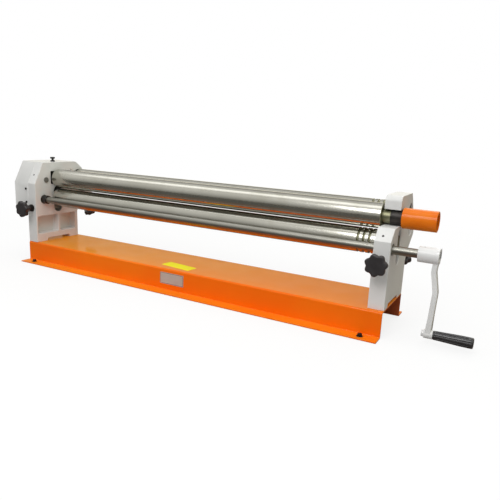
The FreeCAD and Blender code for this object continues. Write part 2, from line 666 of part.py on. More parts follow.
def end_washer(x_face, y, z):
    """Washer and hexagon screw head against a shaft's outer end."""
    washer = rod_x(GEAR_HUB_R - 1, x_face - END_WASHER, x_face, y, z)
    corners = [vec(x_face - END_WASHER, y + 9 * math.cos(math.radians(60 * k)),
                   z + 9 * math.sin(math.radians(60 * k))) for k in range(7)]
    head = Part.Face(Part.makePolygon(corners)).extrude(vec(-6.0, 0, 0))
    return washer.fuse(head)


def lower_roll_gear():
    """Gear that turns the upper roll, with a hub that spaces the drive gear."""
    turn = math.pi / ROLL_GEAR_TEETH
    wheel = gear(ROLL_GEAR_TEETH, ROLL_GEAR_MODULE, ROLL_GEAR_THINNING,
                 -ROLL_GEAR_OUTER, -ROLL_GEAR_OUTER + ROLL_GEAR_WIDTH, turn)
    hub = rod_x(GEAR_HUB_R, -DRIVE_GEAR_INNER, -ROLL_GEAR_OUTER)
    piece = wheel.fuse(hub).cut(rod_x(GEAR_SEAT_R + SEAT_FIT, -DRIVE_GEAR_INNER - 1, -HOUSING_OUTER))
    return moved(piece, 0, LOWER_AXIS_Z)


def upper_roll_gear():
    wheel = gear(ROLL_GEAR_TEETH, ROLL_GEAR_MODULE, ROLL_GEAR_THINNING,
                 -ROLL_GEAR_OUTER, -ROLL_GEAR_OUTER + ROLL_GEAR_WIDTH, 0.0)
    piece = wheel.cut(rod_x(GEAR_SEAT_R + SEAT_FIT, -ROLL_GEAR_OUTER - 1, -HOUSING_OUTER))
    return moved(piece, 0, UPPER_AXIS_Z)


def mesh_angle():
    """Angle of the line from the lower roll to the drive shaft, from +Z towards +Y."""
    return math.atan2(SHAFT_Y, SHAFT_Z - LOWER_AXIS_Z)


def lower_drive_gear():
    """Large gear on the lower roll, with lightening holes."""
    wheel = gear(DRIVE_GEAR_TEETH, DRIVE_GEAR_MODULE, DRIVE_GEAR_THINNING,
                 -DRIVE_GEAR_OUTER, -DRIVE_GEAR_INNER, mesh_angle())
    wheel = wheel.cut(rod_x(GEAR_SEAT_R + SEAT_FIT, -DRIVE_GEAR_OUTER - 1, -DRIVE_GEAR_INNER + 1))
    for k in range(6):
        angle = math.radians(60 * k)
        wheel = wheel.cut(rod_x(6.0, -DRIVE_GEAR_OUTER - 1, -DRIVE_GEAR_INNER + 1,
                                28.0 * math.sin(angle), 28.0 * math.cos(angle)))
    return moved(wheel, 0, LOWER_AXIS_Z)


def drive_pinion():
    """Small gear on the drive shaft, a gap of its teeth facing a tooth of the large gear."""
    turn = mesh_angle() + math.pi + math.pi / DRIVE_PINION_TEETH
    wheel = gear(DRIVE_PINION_TEETH, DRIVE_GEAR_MODULE, DRIVE_GEAR_THINNING,
                 -DRIVE_GEAR_OUTER - 1, -DRIVE_GEAR_INNER + 1, turn)
    wheel = wheel.cut(rod_x(PINION_SEAT_R + SEAT_FIT, -DRIVE_GEAR_OUTER - 2, -DRIVE_GEAR_INNER + 2))
    return moved(wheel, SHAFT_Y, SHAFT_Z)


# ---------------------------------------------------------------- upper roll
def upper_swivel():
    """Bearing block of the upper roll, hung on a vertical pin above the gear."""
    half = SWIVEL_WIDTH / 2
    outer = HOUSING_OUTER - 3
    inner = HOUSING_INNER + 2
    body = slab_x([(-half, UPPER_AXIS_Z - SWIVEL_HEIGHT_DOWN, 1), (-half, UPPER_AXIS_Z + SWIVEL_HEIGHT_UP, 3),
                   (half, UPPER_AXIS_Z + SWIVEL_HEIGHT_UP, 3), (half, UPPER_AXIS_Z - SWIVEL_HEIGHT_DOWN, 1)],
                  inner, outer)
    strap_half = SWIVEL_STRAP_WIDTH / 2 - 1
    riser = block(outer - 1, HOUSING_OUTER + GEAR_FACE_GAP - 1.5, -strap_half, strap_half,
                  UPPER_AXIS_Z + SWIVEL_HEIGHT_DOWN, UPPER_AXIS_Z + SWIVEL_HEIGHT_UP - 1)
    upright = block(HOUSING_OUTER + 2.5, HOUSING_OUTER + GEAR_FACE_GAP - 1.5, -strap_half, strap_half,
                    UPPER_AXIS_Z + SWIVEL_HEIGHT_DOWN, STRAP_TOP)
    strap = block(HOUSING_OUTER + 2.5, ROLL_GEAR_MIDDLE + strap_half, -strap_half, strap_half,
                  STRAP_TOP - SWIVEL_STRAP, STRAP_TOP)
    pin = rod_z(SWIVEL_PIN_R, STRAP_TOP - 1, LUG_TOP, ROLL_GEAR_MIDDLE, 0)
    piece = body.fuse([riser, upright, strap, pin])
    piece = piece.cut(rod_x(JOURNAL_R + JOURNAL_FIT, inner - 1, HOUSING_OUTER + GEAR_FACE_GAP, 0,
                            UPPER_AXIS_Z))
    return mirrored(piece.removeSplitter())


def upper_roll():
    neck_left = HOUSING_INNER + 2 - BLOCK_FIT
    right_end = ROLL_END + UPPER_ROLL_REACH
    bush_start = right_end + ROLL_END_GAP * 2 + 4
    journal_end = HOUSING_OUTER + 4 + TUBE_SPIGOT
    left = gear_end(ROLL_GEAR_OUTER) + [
        (-neck_left, JOURNAL_R), (-neck_left, NECK_R), (-ROLL_END, NECK_R)]
    profile = left + [
        (-ROLL_END, ROLL_R - ROLL_EDGE), (-ROLL_END + ROLL_EDGE, ROLL_R),
        (right_end - ROLL_EDGE, ROLL_R), (right_end, ROLL_R - ROLL_EDGE),
        (right_end, NECK_R), (bush_start, NECK_R), (bush_start, JOURNAL_R),
        (journal_end - 1, JOURNAL_R), (journal_end, JOURNAL_R - 1), (journal_end, 0.0)]
    return turned(profile, 0, UPPER_AXIS_Z)


def right_bush():
    """Steel bush that sits in the housing's mouth and carries the handle tube."""
    start = ROLL_END + UPPER_ROLL_REACH + ROLL_END_GAP * 2 + 4 + BLOCK_FIT
    tube_start = HOUSING_OUTER + 4
    bush = rod_x(MOUTH_R - BUSH_PLAY, start, tube_start, 0, UPPER_AXIS_Z)
    spigot = rod_x(TUBE_R - TUBE_WALL - SEAT_FIT, tube_start, tube_start + TUBE_SPIGOT, 0, UPPER_AXIS_Z)
    bore = rod_x(JOURNAL_R + JOURNAL_FIT, start - 1, tube_start + TUBE_SPIGOT + 1, 0, UPPER_AXIS_Z)
    return bush.fuse(spigot).cut(bore)


def release_tube():
    """Painted tube handle that the upper roll's end is swung out with."""
    start = HOUSING_OUTER + 4
    inner = TUBE_R - TUBE_WALL
    end = start + TUBE_LENGTH
    return turned([(start, inner), (start, TUBE_R - 1), (start + 1, TUBE_R), (end - 1, TUBE_R),
                   (end, TUBE_R - 1), (end, inner)], 0, UPPER_AXIS_Z)


# ---------------------------------------------------------------- rear roll
def rear_block():
    """Round-ended bearing block that slides up the housing's inclined guide."""
    radius = GUIDE_R - BLOCK_FIT
    piece = obround_x(radius, on_guide(-REAR_BLOCK_TAIL), on_guide(0), BLOCK_INNER, BLOCK_OUTER)
    piece = piece.cut(rod_x(JOURNAL_R + JOURNAL_FIT, BLOCK_INNER - 1, BLOCK_OUTER + 1,
                            REAR_AXIS_Y, REAR_AXIS_Z))
    return piece.cut(rear_screw_hole(REAR_SCREW_R * 0.75 + SCREW_FIT, rear_spigot() + 1))


def rear_block_end():
    """Distance along the guide from the rear roll's axis to its block's lower end."""
    return REAR_BLOCK_TAIL + GUIDE_R - BLOCK_FIT


def rear_spigot():
    """How far the rear screw's spigot reaches into its block."""
    return rear_block_end() - JOURNAL_R - 5.0


def rear_screw_hole(radius, depth):
    foot = vec(HOUSING_MIDDLE, *on_guide(-rear_block_end() - 1))
    return Part.makeCylinder(radius, depth + 1, foot, GUIDE)


def rear_roll():
    neck = BLOCK_INNER - BLOCK_FIT
    half = [(ROLL_END, NECK_R), (neck, NECK_R), (neck, JOURNAL_R),
            (BLOCK_OUTER - 1, JOURNAL_R), (BLOCK_OUTER, JOURNAL_R - 1), (BLOCK_OUTER, 0.0)]
    left = [(-x, r) for x, r in reversed(half)]
    roll = turned(roll_profile(left, half), REAR_AXIS_Y, REAR_AXIS_Z)
    return wire_grooves(roll, REAR_AXIS_Z, REAR_AXIS_Y)


# ---------------------------------------------------------------- star knobs and screws
def star_knob(radius, centre, axis, bore):
    """Moulded star grip with its hub towards +axis; centre is the middle of the star."""
    depth = KNOB_THICKNESS
    waist = radius * 0.80
    lobe_r = radius * 0.27
    lobe_step = 2 * math.pi / KNOB_LOBES
    first = -math.radians(KNOB_TURN)
    star = Part.makeCylinder(waist, depth, vec(0, 0, 0), AXIS_Z)
    for k in range(KNOB_LOBES):
        angle = first + lobe_step * k
        reach = radius - lobe_r
        lobe = Part.makeCylinder(lobe_r, depth,
                                 vec(reach * math.cos(angle), reach * math.sin(angle), 0), AXIS_Z)
        star = star.fuse(lobe)
    for k in range(KNOB_LOBES):
        angle = first + lobe_step * (k + 0.5)
        reach = radius * 1.08
        notch = Part.makeCylinder(radius * 0.25, depth + 2,
                                  vec(reach * math.cos(angle), reach * math.sin(angle), -1), AXIS_Z)
        star = star.cut(notch)
    dish = Part.makeCone(radius * 0.5, radius * 0.36, 2.0, vec(0, 0, 0), AXIS_Z)
    star = star.cut(dish).removeSplitter()
    hub = Part.makeCone(KNOB_HUB_R + 2, KNOB_HUB_R, KNOB_HUB, vec(0, 0, depth), AXIS_Z)
    hole = Part.makeCylinder(bore, KNOB_HUB + depth * 0.5, vec(0, 0, depth * 0.5), AXIS_Z)
    knob = star.fuse(hub).cut(hole)
    turn = FreeCAD.Rotation(AXIS_Z, axis)
    knob.Placement = FreeCAD.Placement(centre - axis * (depth / 2), turn)
    return knob


def front_screw(front):
    """Screw with a collar held behind the gland; its thread runs through the wedge."""
    star_back = front - KNOB_STANDOFF
    tip = WEDGE_LENGTH / 2 - 2
    collar_start = front + GLAND_SPIGOT + 0.3
    screw = rod_y(FRONT_SCREW_R, star_back, tip, HOUSING_MIDDLE, FRONT_SCREW_Z)
    return screw.fuse(rod_y(COLLAR_R, collar_start, collar_start + COLLAR_WIDTH,
                            HOUSING_MIDDLE, FRONT_SCREW_Z))


def front_gland(front):
    """Flanged gland that keeps the screw's collar in the housing."""
    flange = rod_y(GLAND_R, front - GLAND_FLANGE, front, HOUSING_MIDDLE, FRONT_SCREW_Z)
    spigot = rod_y(GLAND_SPIGOT_R - SEAT_FIT, front, front + GLAND_SPIGOT, HOUSING_MIDDLE, FRONT_SCREW_Z)
    bore = rod_y(FRONT_SCREW_R + SCREW_FIT, front - GLAND_FLANGE - 1, front + GLAND_SPIGOT + 1,
                 HOUSING_MIDDLE, FRONT_SCREW_Z)
    return flange.fuse(spigot).cut(bore)


def rear_screw():
    """Jack screw of the rear block: threaded in the arm, its spigot held in the block."""
    shoulder = -rear_block_end() - 0.3
    low = vec(HOUSING_MIDDLE, *on_guide(-REAR_KNOB_DROP))
    thread = Part.makeCylinder(REAR_SCREW_R, REAR_KNOB_DROP + shoulder, low, GUIDE)
    top = vec(HOUSING_MIDDLE, *on_guide(shoulder - 1))
    spigot = Part.makeCylinder(REAR_SCREW_R * 0.75, rear_spigot(), top, GUIDE)
    return thread.fuse(spigot)


# ---------------------------------------------------------------- drive shaft and crank
def drive_shaft():
    start = -DRIVE_GEAR_OUTER - 1
    seat_end = -DRIVE_GEAR_INNER + 1
    end = CRANK_HUB_END - 4
    return turned([(start, 0.0), (start, PINION_SEAT_R - 1), (start + 1, PINION_SEAT_R),
                   (seat_end, PINION_SEAT_R), (seat_end, SHAFT_R), (end - 1, SHAFT_R),
                   (end, SHAFT_R - 1), (end, 0.0)], SHAFT_Y, SHAFT_Z)


def drive_bush():
    outer = HOUSING_OUTER - DRIVE_BUSH_RECESS
    return ring_x(DRIVE_BUSH_R - SEAT_FIT, SHAFT_R + SHAFT_FIT, HOUSING_INNER, outer, SHAFT_Y, SHAFT_Z)


def shaft_collar():
    """Black set collar that stops the shaft from moving endways, against the left housing."""
    end = HOUSING_INNER - SHAFT_COLLAR_GAP
    collar = ring_x(SHAFT_COLLAR_R, SHAFT_R + SEAT_FIT, end - SHAFT_COLLAR_WIDTH, end, SHAFT_Y, SHAFT_Z)
    return mirrored(collar)


def crank_arm():
    """Bowed flat arm with a long hub on the shaft and a boss for the grip."""
    half = CRANK_ARM_THICKNESS / 2
    waist_z = SHAFT_Z - 0.19 * CRANK_RADIUS
    belly_z = SHAFT_Z - 0.45 * CRANK_RADIUS
    line = [(CRANK_ARM_X + 2, SHAFT_Z), (CRANK_ARM_X - 2, waist_z),
            (CRANK_ARM_X + CRANK_ARM_BOW, belly_z), (CRANK_ARM_X + 2, GRIP_Z)]
    outline = [(x - half, z, 0 if k in (0, 3) else 40) for k, (x, z) in enumerate(line)]
    outline += [(x + half, z, 0 if k in (0, 3) else 40) for k, (x, z) in reversed(list(enumerate(line)))]
    side = CRANK_ARM_WIDTH / 2
    arm = slab_y(outline, SHAFT_Y - side, SHAFT_Y + side)
    arm = arm.fuse(rod_x(CRANK_HUB_R, CRANK_HUB_START, CRANK_HUB_END, SHAFT_Y, SHAFT_Z))
    arm = arm.fuse(rod_x(CRANK_BOSS_R, CRANK_BOSS_START, CRANK_BOSS_END, SHAFT_Y, GRIP_Z))
    arm = arm.cut(rod_x(SHAFT_R + SEAT_FIT, CRANK_HUB_START - 1, CRANK_HUB_END + 10, SHAFT_Y, SHAFT_Z))
    arm = arm.cut(rod_x(SPINDLE_R + SEAT_FIT, CRANK_BOSS_START - 1, CRANK_BOSS_END + 1, SHAFT_Y, GRIP_Z))
    return arm.cut(rod_z(3 + SEAT_FIT, SHAFT_Z, SHAFT_Z + CRANK_HUB_R + 1,
                         CRANK_HUB_START + 14, SHAFT_Y)).removeSplitter()


def crank_set_screw():
    return rod_z(3.0, SHAFT_Z + SHAFT_R, SHAFT_Z + CRANK_HUB_R - 1, CRANK_HUB_START + 14, SHAFT_Y)


def grip_spindle():
    """Shoulder bolt that the grip turns on; its head sits in the grip's end."""
    start = CRANK_BOSS_START - 6
    end = CRANK_BOSS_END + GRIP_LENGTH
    seat = end - GRIP_HEAD_SEAT + 0.3
    bolt = rod_x(SPINDLE_R, start, seat, SHAFT_Y, GRIP_Z)
    head = rod_x(SPINDLE_R + 3, seat, seat + SPINDLE_R, SHAFT_Y, GRIP_Z)
    nut = rod_x(SPINDLE_R + 3.5, start, CRANK_BOSS_START, SHAFT_Y, GRIP_Z)
    return bolt.fuse([head, nut])


def crank_grip():
    """Moulded fluted grip that turns on the spindle."""
    start = CRANK_BOSS_END + 0.5
    end = CRANK_BOSS_END + GRIP_LENGTH
    grip = turned([(start, SPINDLE_R + SCREW_FIT), (start, GRIP_NECK_R - 1), (start + 1, GRIP_NECK_R),
                   (start + 8, GRIP_NECK_R + 0.4), (start + 32, GRIP_R - 1), (start + 60, GRIP_R),
                   (end - GRIP_END_ROUND, GRIP_R), (end, GRIP_R - GRIP_END_ROUND), (end, SPINDLE_R + 3.5),
                   (end - GRIP_HEAD_SEAT, SPINDLE_R + 3.5), (end - GRIP_HEAD_SEAT, SPINDLE_R + SCREW_FIT)],
                  SHAFT_Y, GRIP_Z)
    for k in range(GRIP_FLUTES):
        angle = 2 * math.pi * k / GRIP_FLUTES
        reach = GRIP_R + GRIP_FLUTE_R * 0.45
        flute = rod_x(GRIP_FLUTE_R, start + 14, end - 8, SHAFT_Y + reach * math.cos(angle),
                      GRIP_Z + reach * math.sin(angle))
        grip = grip.cut(flute)
    return grip


# ---------------------------------------------------------------- small fittings
def oil_cup():
    """Spool-shaped oil cup over the upper roll's swivel."""
    z = HOUSING_TOP
    steps = [(0, 0.85), (0.2, 0.85), (0.3, 0.55), (0.6, 0.55), (0.7, 1.0), (1.0, 1.0)]
    points = [vec(0, 0, z)] + [vec(OIL_CUP_R * r, 0, z + OIL_CUP_HEIGHT * h) for h, r in steps]
    points.append(vec(0, 0, z + OIL_CUP_HEIGHT))
    cup = Part.Face(Part.makePolygon(points + points[:1])).revolve(vec(0, 0, 0), AXIS_Z, 360)
    cup.translate(vec(-HOUSING_MIDDLE, 0, 0))
    return cup


def bearing_plug():
    """Slotted plug screwed into the left housing's inner face."""
    face = -HOUSING_INNER
    plug = rod_x(PLUG_R - 0.5, face - 8, face - 1, PLUG_Y, PLUG_Z)
    slot = block(face - 3, face, PLUG_Y - PLUG_R, PLUG_Y + PLUG_R, PLUG_Z - 1, PLUG_Z + 1)
    return plug.cut(slot)


# ---------------------------------------------------------------- write every node
os.makedirs("parts", exist_ok=True)

save("base_channel", base_channel())
save("housing_bolts", *[foot_bolt(x, y) for x, y in foot_bolt_places()])
save("left_housing", left_housing())
save("right_housing", right_housing())
save("gear_cover", gear_cover())
save("cover_screws", *[cover_screw(y, z) for y, z in cover_screw_places()])
save("oil_cup", oil_cup())
save("bearing_plug", bearing_plug())

save("lower_roll", lower_roll())
save("lower_roll_gear", lower_roll_gear())
save("lower_drive_gear", lower_drive_gear())
save("lower_end_screw", end_washer(-DRIVE_GEAR_OUTER, 0, LOWER_AXIS_Z))
save("upper_roll", upper_roll())
save("upper_roll_gear", upper_roll_gear())
save("upper_end_screw", end_washer(-ROLL_GEAR_OUTER, 0, UPPER_AXIS_Z))
save("upper_swivel", upper_swivel())
save("right_bush", right_bush())
save("release_tube", release_tube())
save("rear_roll", rear_roll())

save("drive_shaft", drive_shaft())
save("drive_pinion", drive_pinion())
save("shaft_collar", shaft_collar())
save("pinion_end_screw", end_washer(-DRIVE_GEAR_OUTER - 1, SHAFT_Y, SHAFT_Z))
save("crank_arm", crank_arm())
save("crank_set_screw", crank_set_screw())
save("grip_spindle", grip_spindle())
save("crank_grip", crank_grip())

for side, hand in SIDES:
    front_face = FRONT_FACES[side]
    save("drive_bush_" + side, handed(drive_bush(), hand))
    save("lower_block_" + side, handed(lower_block(), hand))
    save("wedge_" + side, handed(wedge(), hand))
    save("front_gland_" + side, handed(front_gland(front_face), hand))
    save("front_screw_" + side, handed(front_screw(front_face), hand))
    front_centre = vec(hand * HOUSING_MIDDLE, front_face - KNOB_STANDOFF, FRONT_SCREW_Z)
    save("front_knob_" + side, star_knob(KNOB_R, front_centre, AXIS_Y, FRONT_SCREW_R + SEAT_FIT))
    save("rear_block_" + side, handed(rear_block(), hand))
    save("rear_screw_" + side, handed(rear_screw(), hand))
    rear_centre = vec(hand * HOUSING_MIDDLE, *on_guide(-REAR_KNOB_DROP))
    save("rear_knob_" + side, star_knob(REAR_KNOB_R, rear_centre, GUIDE, REAR_SCREW_R + SEAT_FIT))
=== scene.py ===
"""Slip roll machine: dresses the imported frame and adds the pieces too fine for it.

Sizes in the dataclasses are millimetres; meshes are written in metres, in the frame's own axes
(X along the rolls towards the crank, Y away from the operator, Z up).
"""

import logging
import math
from dataclasses import dataclass, field
from enum import Enum
from itertools import product
from typing import Any, ClassVar

import bmesh
import bpy
from mathutils import Matrix, Vector


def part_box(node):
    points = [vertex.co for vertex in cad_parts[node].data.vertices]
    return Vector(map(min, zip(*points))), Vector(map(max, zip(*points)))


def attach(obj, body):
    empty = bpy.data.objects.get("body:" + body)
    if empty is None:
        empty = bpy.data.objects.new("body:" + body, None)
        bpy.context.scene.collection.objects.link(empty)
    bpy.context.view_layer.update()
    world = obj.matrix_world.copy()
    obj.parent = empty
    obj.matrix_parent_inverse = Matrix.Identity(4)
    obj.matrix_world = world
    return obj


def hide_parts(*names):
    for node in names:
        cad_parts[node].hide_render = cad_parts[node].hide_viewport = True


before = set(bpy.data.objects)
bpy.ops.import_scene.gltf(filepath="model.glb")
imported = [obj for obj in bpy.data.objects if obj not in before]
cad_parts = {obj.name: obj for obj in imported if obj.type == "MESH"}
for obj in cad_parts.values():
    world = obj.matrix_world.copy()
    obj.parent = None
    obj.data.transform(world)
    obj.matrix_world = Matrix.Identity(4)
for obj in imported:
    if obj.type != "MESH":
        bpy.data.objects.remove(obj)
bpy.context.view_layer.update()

Tree = bpy.types.NodeTree
Edge = bmesh.types.BMEdge
Face = bmesh.types.BMFace
Vert = bmesh.types.BMVert
Pair = tuple[float, float]
Point = tuple[float, float, float]
Rgba = tuple[float, float, float, float]
Profile = list[Pair]

LOG = logging.getLogger("slip_roll")
MM = 0.001
WELD = 0.002 * MM  # vertices closer than this are one
CUT = 0.0001 * MM  # vertices closer than this to a cut are on it
FLAT_DEG = 0.4  # faces of a CAD node's mesh that meet at less are joined up
ROUNDED_DEG = 32.0  # edges of a softened node that are steeper are rounded
SOFTENED_SHARP_DEG = 50.0  # and edges that are still steeper than this stay sharp
SECOND = 1  # material slot of a piece's second finish
WEAR = "edge_wear"
WHITE: Rgba = (1.0, 1.0, 1.0, 1.0)
NOISE_SPAN = {"From Min": 0.3, "From Max": 0.7}  # most of a noise texture's values


class Side(Enum):
    """The two ends of the machine; the value is the sign of X."""

    LEFT = -1
    RIGHT = 1


class Body(str, Enum):
    """The frame's moving bodies that new pieces ride on."""

    STAND = "stand"
    CRANK = "crank"
    GRIP = "grip"
    LOWER_ROLLER = "lower_roller"
    UPPER_ROLLER = "upper_roller"
    UPPER_SWING = "upper_swing"
    REAR_ROLLER = "rear_roller"
    FRONT_LEFT = "front_adjuster_l"
    FRONT_RIGHT = "front_adjuster_r"
    REAR_LEFT = "rear_adjuster_l"
    REAR_RIGHT = "rear_adjuster_r"


class Slot(str, Enum):
    """The record's material slots."""

    BASE_PAINT = "base_paint"
    ORANGE_PAINT = "orange_paint"
    HOUSING_PAINT = "housing_paint"
    GROUND_STEEL = "ground_steel"
    GEAR_STEEL = "gear_steel"
    ZINC_STEEL = "zinc_steel"
    BLACKENED_STEEL = "blackened_steel"
    BRONZE = "bronze"
    CAST_IRON = "cast_iron"
    BLACK_PLASTIC = "black_plastic"


def linear(hex_colour: str) -> Rgba:
    """Turn an sRGB hex colour into a linear one.

    Args:
        hex_colour: Colour as "#rrggbb".

    Returns:
        Linear red, green, blue and an alpha of 1.
    """
    channels = [int(hex_colour[i:i + 2], 16) / 255 for i in (1, 3, 5)]
    red, green, blue = (c / 12.92 if c <= 0.04045 else ((c + 0.055) / 1.055) ** 2.4 for c in channels)
    return red, green, blue, 1.0


def add_node(tree: Tree, kind: str, settings: dict[Any, Any] | None = None,
             links: dict[Any, Any] | None = None) -> bpy.types.Node:
    """Add one node with its settings and links.

    Args:
        tree: Node tree that gets the node.
        kind: Blender's name of the node type, without its "ShaderNode".
        settings: Values by socket name, socket number or node property.
        links: Sources by the name or number of the input that they feed. A source is a socket, or a
            node that stands for its first output in use.

    Returns:
        The new node.
    """
    node = tree.nodes.new(f"ShaderNode{kind}")
    for name, value in (settings or {}).items():
        if isinstance(name, int) or name in node.inputs:
            node.inputs[name].default_value = value
        else:
            setattr(node, name, value)
    for name, source in (links or {}).items():
        if isinstance(source, bpy.types.Node):
            source = next(socket for socket in source.outputs if socket.enabled)
        tree.links.new(source, node.inputs[name])
    return node


# ------------------------------------------------------------------ finishes
@dataclass(frozen=True)
class Finish:
    """What a surface is made of; the subclasses say how it was made.

    Attributes:
        name: Name of the material.
        slot: The record's slot that it belongs to; not used.
        colour: Main colour as an sRGB hex value.
        shade: Colour that the main one drifts to.
        roughness: Roughness of the clean surface.
        drift_mm: Size of the patches in which the colour drifts.
        spread: How far the roughness goes below and above its value.
    """

    name: str
    slot: Slot
    colour: str
    shade: str
    roughness: float
    drift_mm: float
    spread: ClassVar[Pair] = (0.07, 0.1)

    def material(self) -> bpy.types.Material:
        """Make this finish as a Blender material, once.

        Returns:
            The material.
        """
        known = bpy.data.materials.get(self.name)
        if known:
            return known
        made = bpy.data.materials.new(self.name)
        made.use_nodes = True
        made.node_tree.nodes.clear()
        self.build(made.node_tree)
        return made

    def drift(self, tree: Tree) -> tuple[dict[str, Any], bpy.types.Node]:
        """Add the slow colour drift that every finish has.

        Args:
            tree: The material's node tree.

        Returns:
            The link that puts a pattern on the object's coordinates, and the drifting colour.
        """
        at = {"Vector": add_node(tree, "TexCoord").outputs["Object"]}
        patch = add_node(tree, "TexNoise", {"Scale": 1 / (self.drift_mm * MM), "Detail": 3.0}, at)
        share = add_node(tree, "MapRange", {"From Min": 0.38, "From Max": 0.64}, {"Value": patch})
        return at, add_node(tree, "Mix", {"data_type": "RGBA", 6: linear(self.colour),
                                          7: linear(self.shade)}, {0: share})

    def vary(self, tree: Tree, noise: bpy.types.Node) -> bpy.types.Node:
        """Add the roughness, which follows a noise over the finish's spread."""
        less, more = self.spread
        return add_node(tree, "MapRange", {**NOISE_SPAN, "To Min": self.roughness - less,
                                           "To Max": self.roughness + more}, {"Value": noise})

    def build(self, tree: Tree) -> None:
        """Fill the material's node tree."""
        raise NotImplementedError


@dataclass(frozen=True)
class Enamel(Finish):
    """Sprayed enamel under a clear gloss, with the soft ripple of paint and thin edges.

    Attributes:
        edge: Colour that shows where the paint is thin on an edge.
        peel_mm: Width of the paint's ripple.
        peel_depth_mm: Height of the ripple.
        grain_mm: Width of the cast skin under the paint, 0 on sheet metal.
        grain_depth_mm: Height of the skin.
        gloss: Share of clear gloss over the paint.
        level: Strength of the reflection under the gloss.
        painted_sheen: Strength of a yellow sheen at a flat angle, a painted reflection of warm surroundings.
        painted_sheen_tint: Colour of that painted sheen.
        rub_mm: Length of the rubbed runs on an edge.
        palm_mm: Size of the areas that handling leaves dull or shiny.
    """

    edge: str
    peel_mm: float = 7.0
    peel_depth_mm: float = 0.05
    grain_mm: float = 0.0
    grain_depth_mm: float = 0.25
    gloss: float = 0.25
    level: float = 0.3
    painted_sheen: float = 0.0
    painted_sheen_tint: Rgba = (1.0, 0.95, 0.1, 1.0)
    rub_mm: float = 25.0
    palm_mm: float = 70.0
    spread: ClassVar[Pair] = (0.06, 0.08)

    def build(self, tree: Tree) -> None:
        """Paint: drifting colour, thinner on worn edges, ripple and cast skin as bump.

        Args:
            tree: The material's node tree.
        """
        at, tone = self.drift(tree)
        # Fingers and sheets rub the paint off an edge unevenly, and never quite through.
        rubbed = add_node(tree, "TexNoise", {"Scale": 1 / (self.rub_mm * MM), "Detail": 4.0}, at)
        worn = add_node(tree, "MapRange", {"From Min": 0.42, "From Max": 0.62, "To Max": 0.65},
                        {"Value": rubbed})
        edge = add_node(tree, "Attribute", {"attribute_name": WEAR}).outputs["Fac"]
        thin = add_node(tree, "Math", {"operation": "MULTIPLY"}, {0: worn, 1: edge})
        colour = add_node(tree, "Mix", {"data_type": "RGBA", 7: linear(self.edge)}, {0: thin, 6: tone})
        palms = add_node(tree, "TexNoise", {"Scale": 1 / (self.palm_mm * MM), "Detail": 5.0}, at)
        # The ripple of sprayed paint is 1 to 2 mm wide and is drawn coarser, so that it shows.
        peel = add_node(tree, "TexNoise", {"Scale": 1 / (self.peel_mm * MM), "Detail": 1.0}, at)
        bump = add_node(tree, "Bump", {"Strength": 0.5, "Distance": self.peel_depth_mm * MM},
                        {"Height": peel})
        if self.grain_mm:
            skin = add_node(tree, "TexNoise", {"Scale": 1 / (self.grain_mm * MM), "Detail": 4.0,
                                               "Roughness": 0.6}, at)
            bump = add_node(tree, "Bump", {"Strength": 0.6, "Distance": self.grain_depth_mm * MM},
                            {"Height": skin, "Normal": bump})
        shader = add_node(tree, "BsdfPrincipled",
                          {"Specular IOR Level": self.level, "Coat Weight": self.gloss,
                           "Coat Roughness": 0.06, "Coat IOR": 1.5, "Sheen Weight": self.painted_sheen,
                           "Sheen Roughness": 0.4, "Sheen Tint": self.painted_sheen_tint},
                          {"Base Color": colour, "Roughness": self.vary(tree, palms), "Normal": bump})
        add_node(tree, "OutputMaterial", links={"Surface": shader})


@dataclass(frozen=True)
class TurnedSteel(Finish):
    """Steel turned and ground about the X axis: fine rings, with thin films of oil.

    Attributes:
        ring_mm: Spacing of the rings that show.
        ring_depth_mm: Depth of the rings.
        film: Colour of the oil film.
        film_mm: Size of the oil's drawn-out patches.
    """

    ring_mm: float = 3.0
    ring_depth_mm: float = 0.002
    film: str = "#8f8a70"
    film_mm: float = 60.0
    spread: ClassVar[Pair] = (0.03, 0.03)

    def build(self, tree: Tree) -> None:
        """Metal: rings along X in bump and roughness, oil film in the colour.

        Args:
            tree: The material's node tree.
        """
        at, tone = self.drift(tree)
        along = add_node(tree, "SeparateXYZ", links=at).outputs["X"]
        # Grinding marks are under 0.1 mm apart and are drawn as the slower bands that the eye sees.
        rings = add_node(tree, "TexNoise", {"noise_dimensions": "1D", "Scale": 1 / (self.ring_mm * MM),
                                            "Detail": 6.0, "Roughness": 0.7}, {"W": along})
        film = add_node(tree, "TexNoise", {"Scale": 1 / (self.film_mm * MM), "Detail": 6.0,
                                           "Distortion": 0.6}, at)
        oiled = add_node(tree, "MapRange", {"From Min": 0.5, "From Max": 0.75, "To Max": 0.15},
                         {"Value": film})
        colour = add_node(tree, "Mix", {"data_type": "RGBA", 7: linear(self.film)}, {0: oiled, 6: tone})
        bump = add_node(tree, "Bump", {"Strength": 0.3, "Distance": self.ring_depth_mm * MM},
                        {"Height": rings})
        shader = add_node(tree, "BsdfPrincipled", {"Metallic": 1.0},
                          {"Base Color": colour, "Roughness": self.vary(tree, rings), "Normal": bump})
        add_node(tree, "OutputMaterial", links={"Surface": shader})


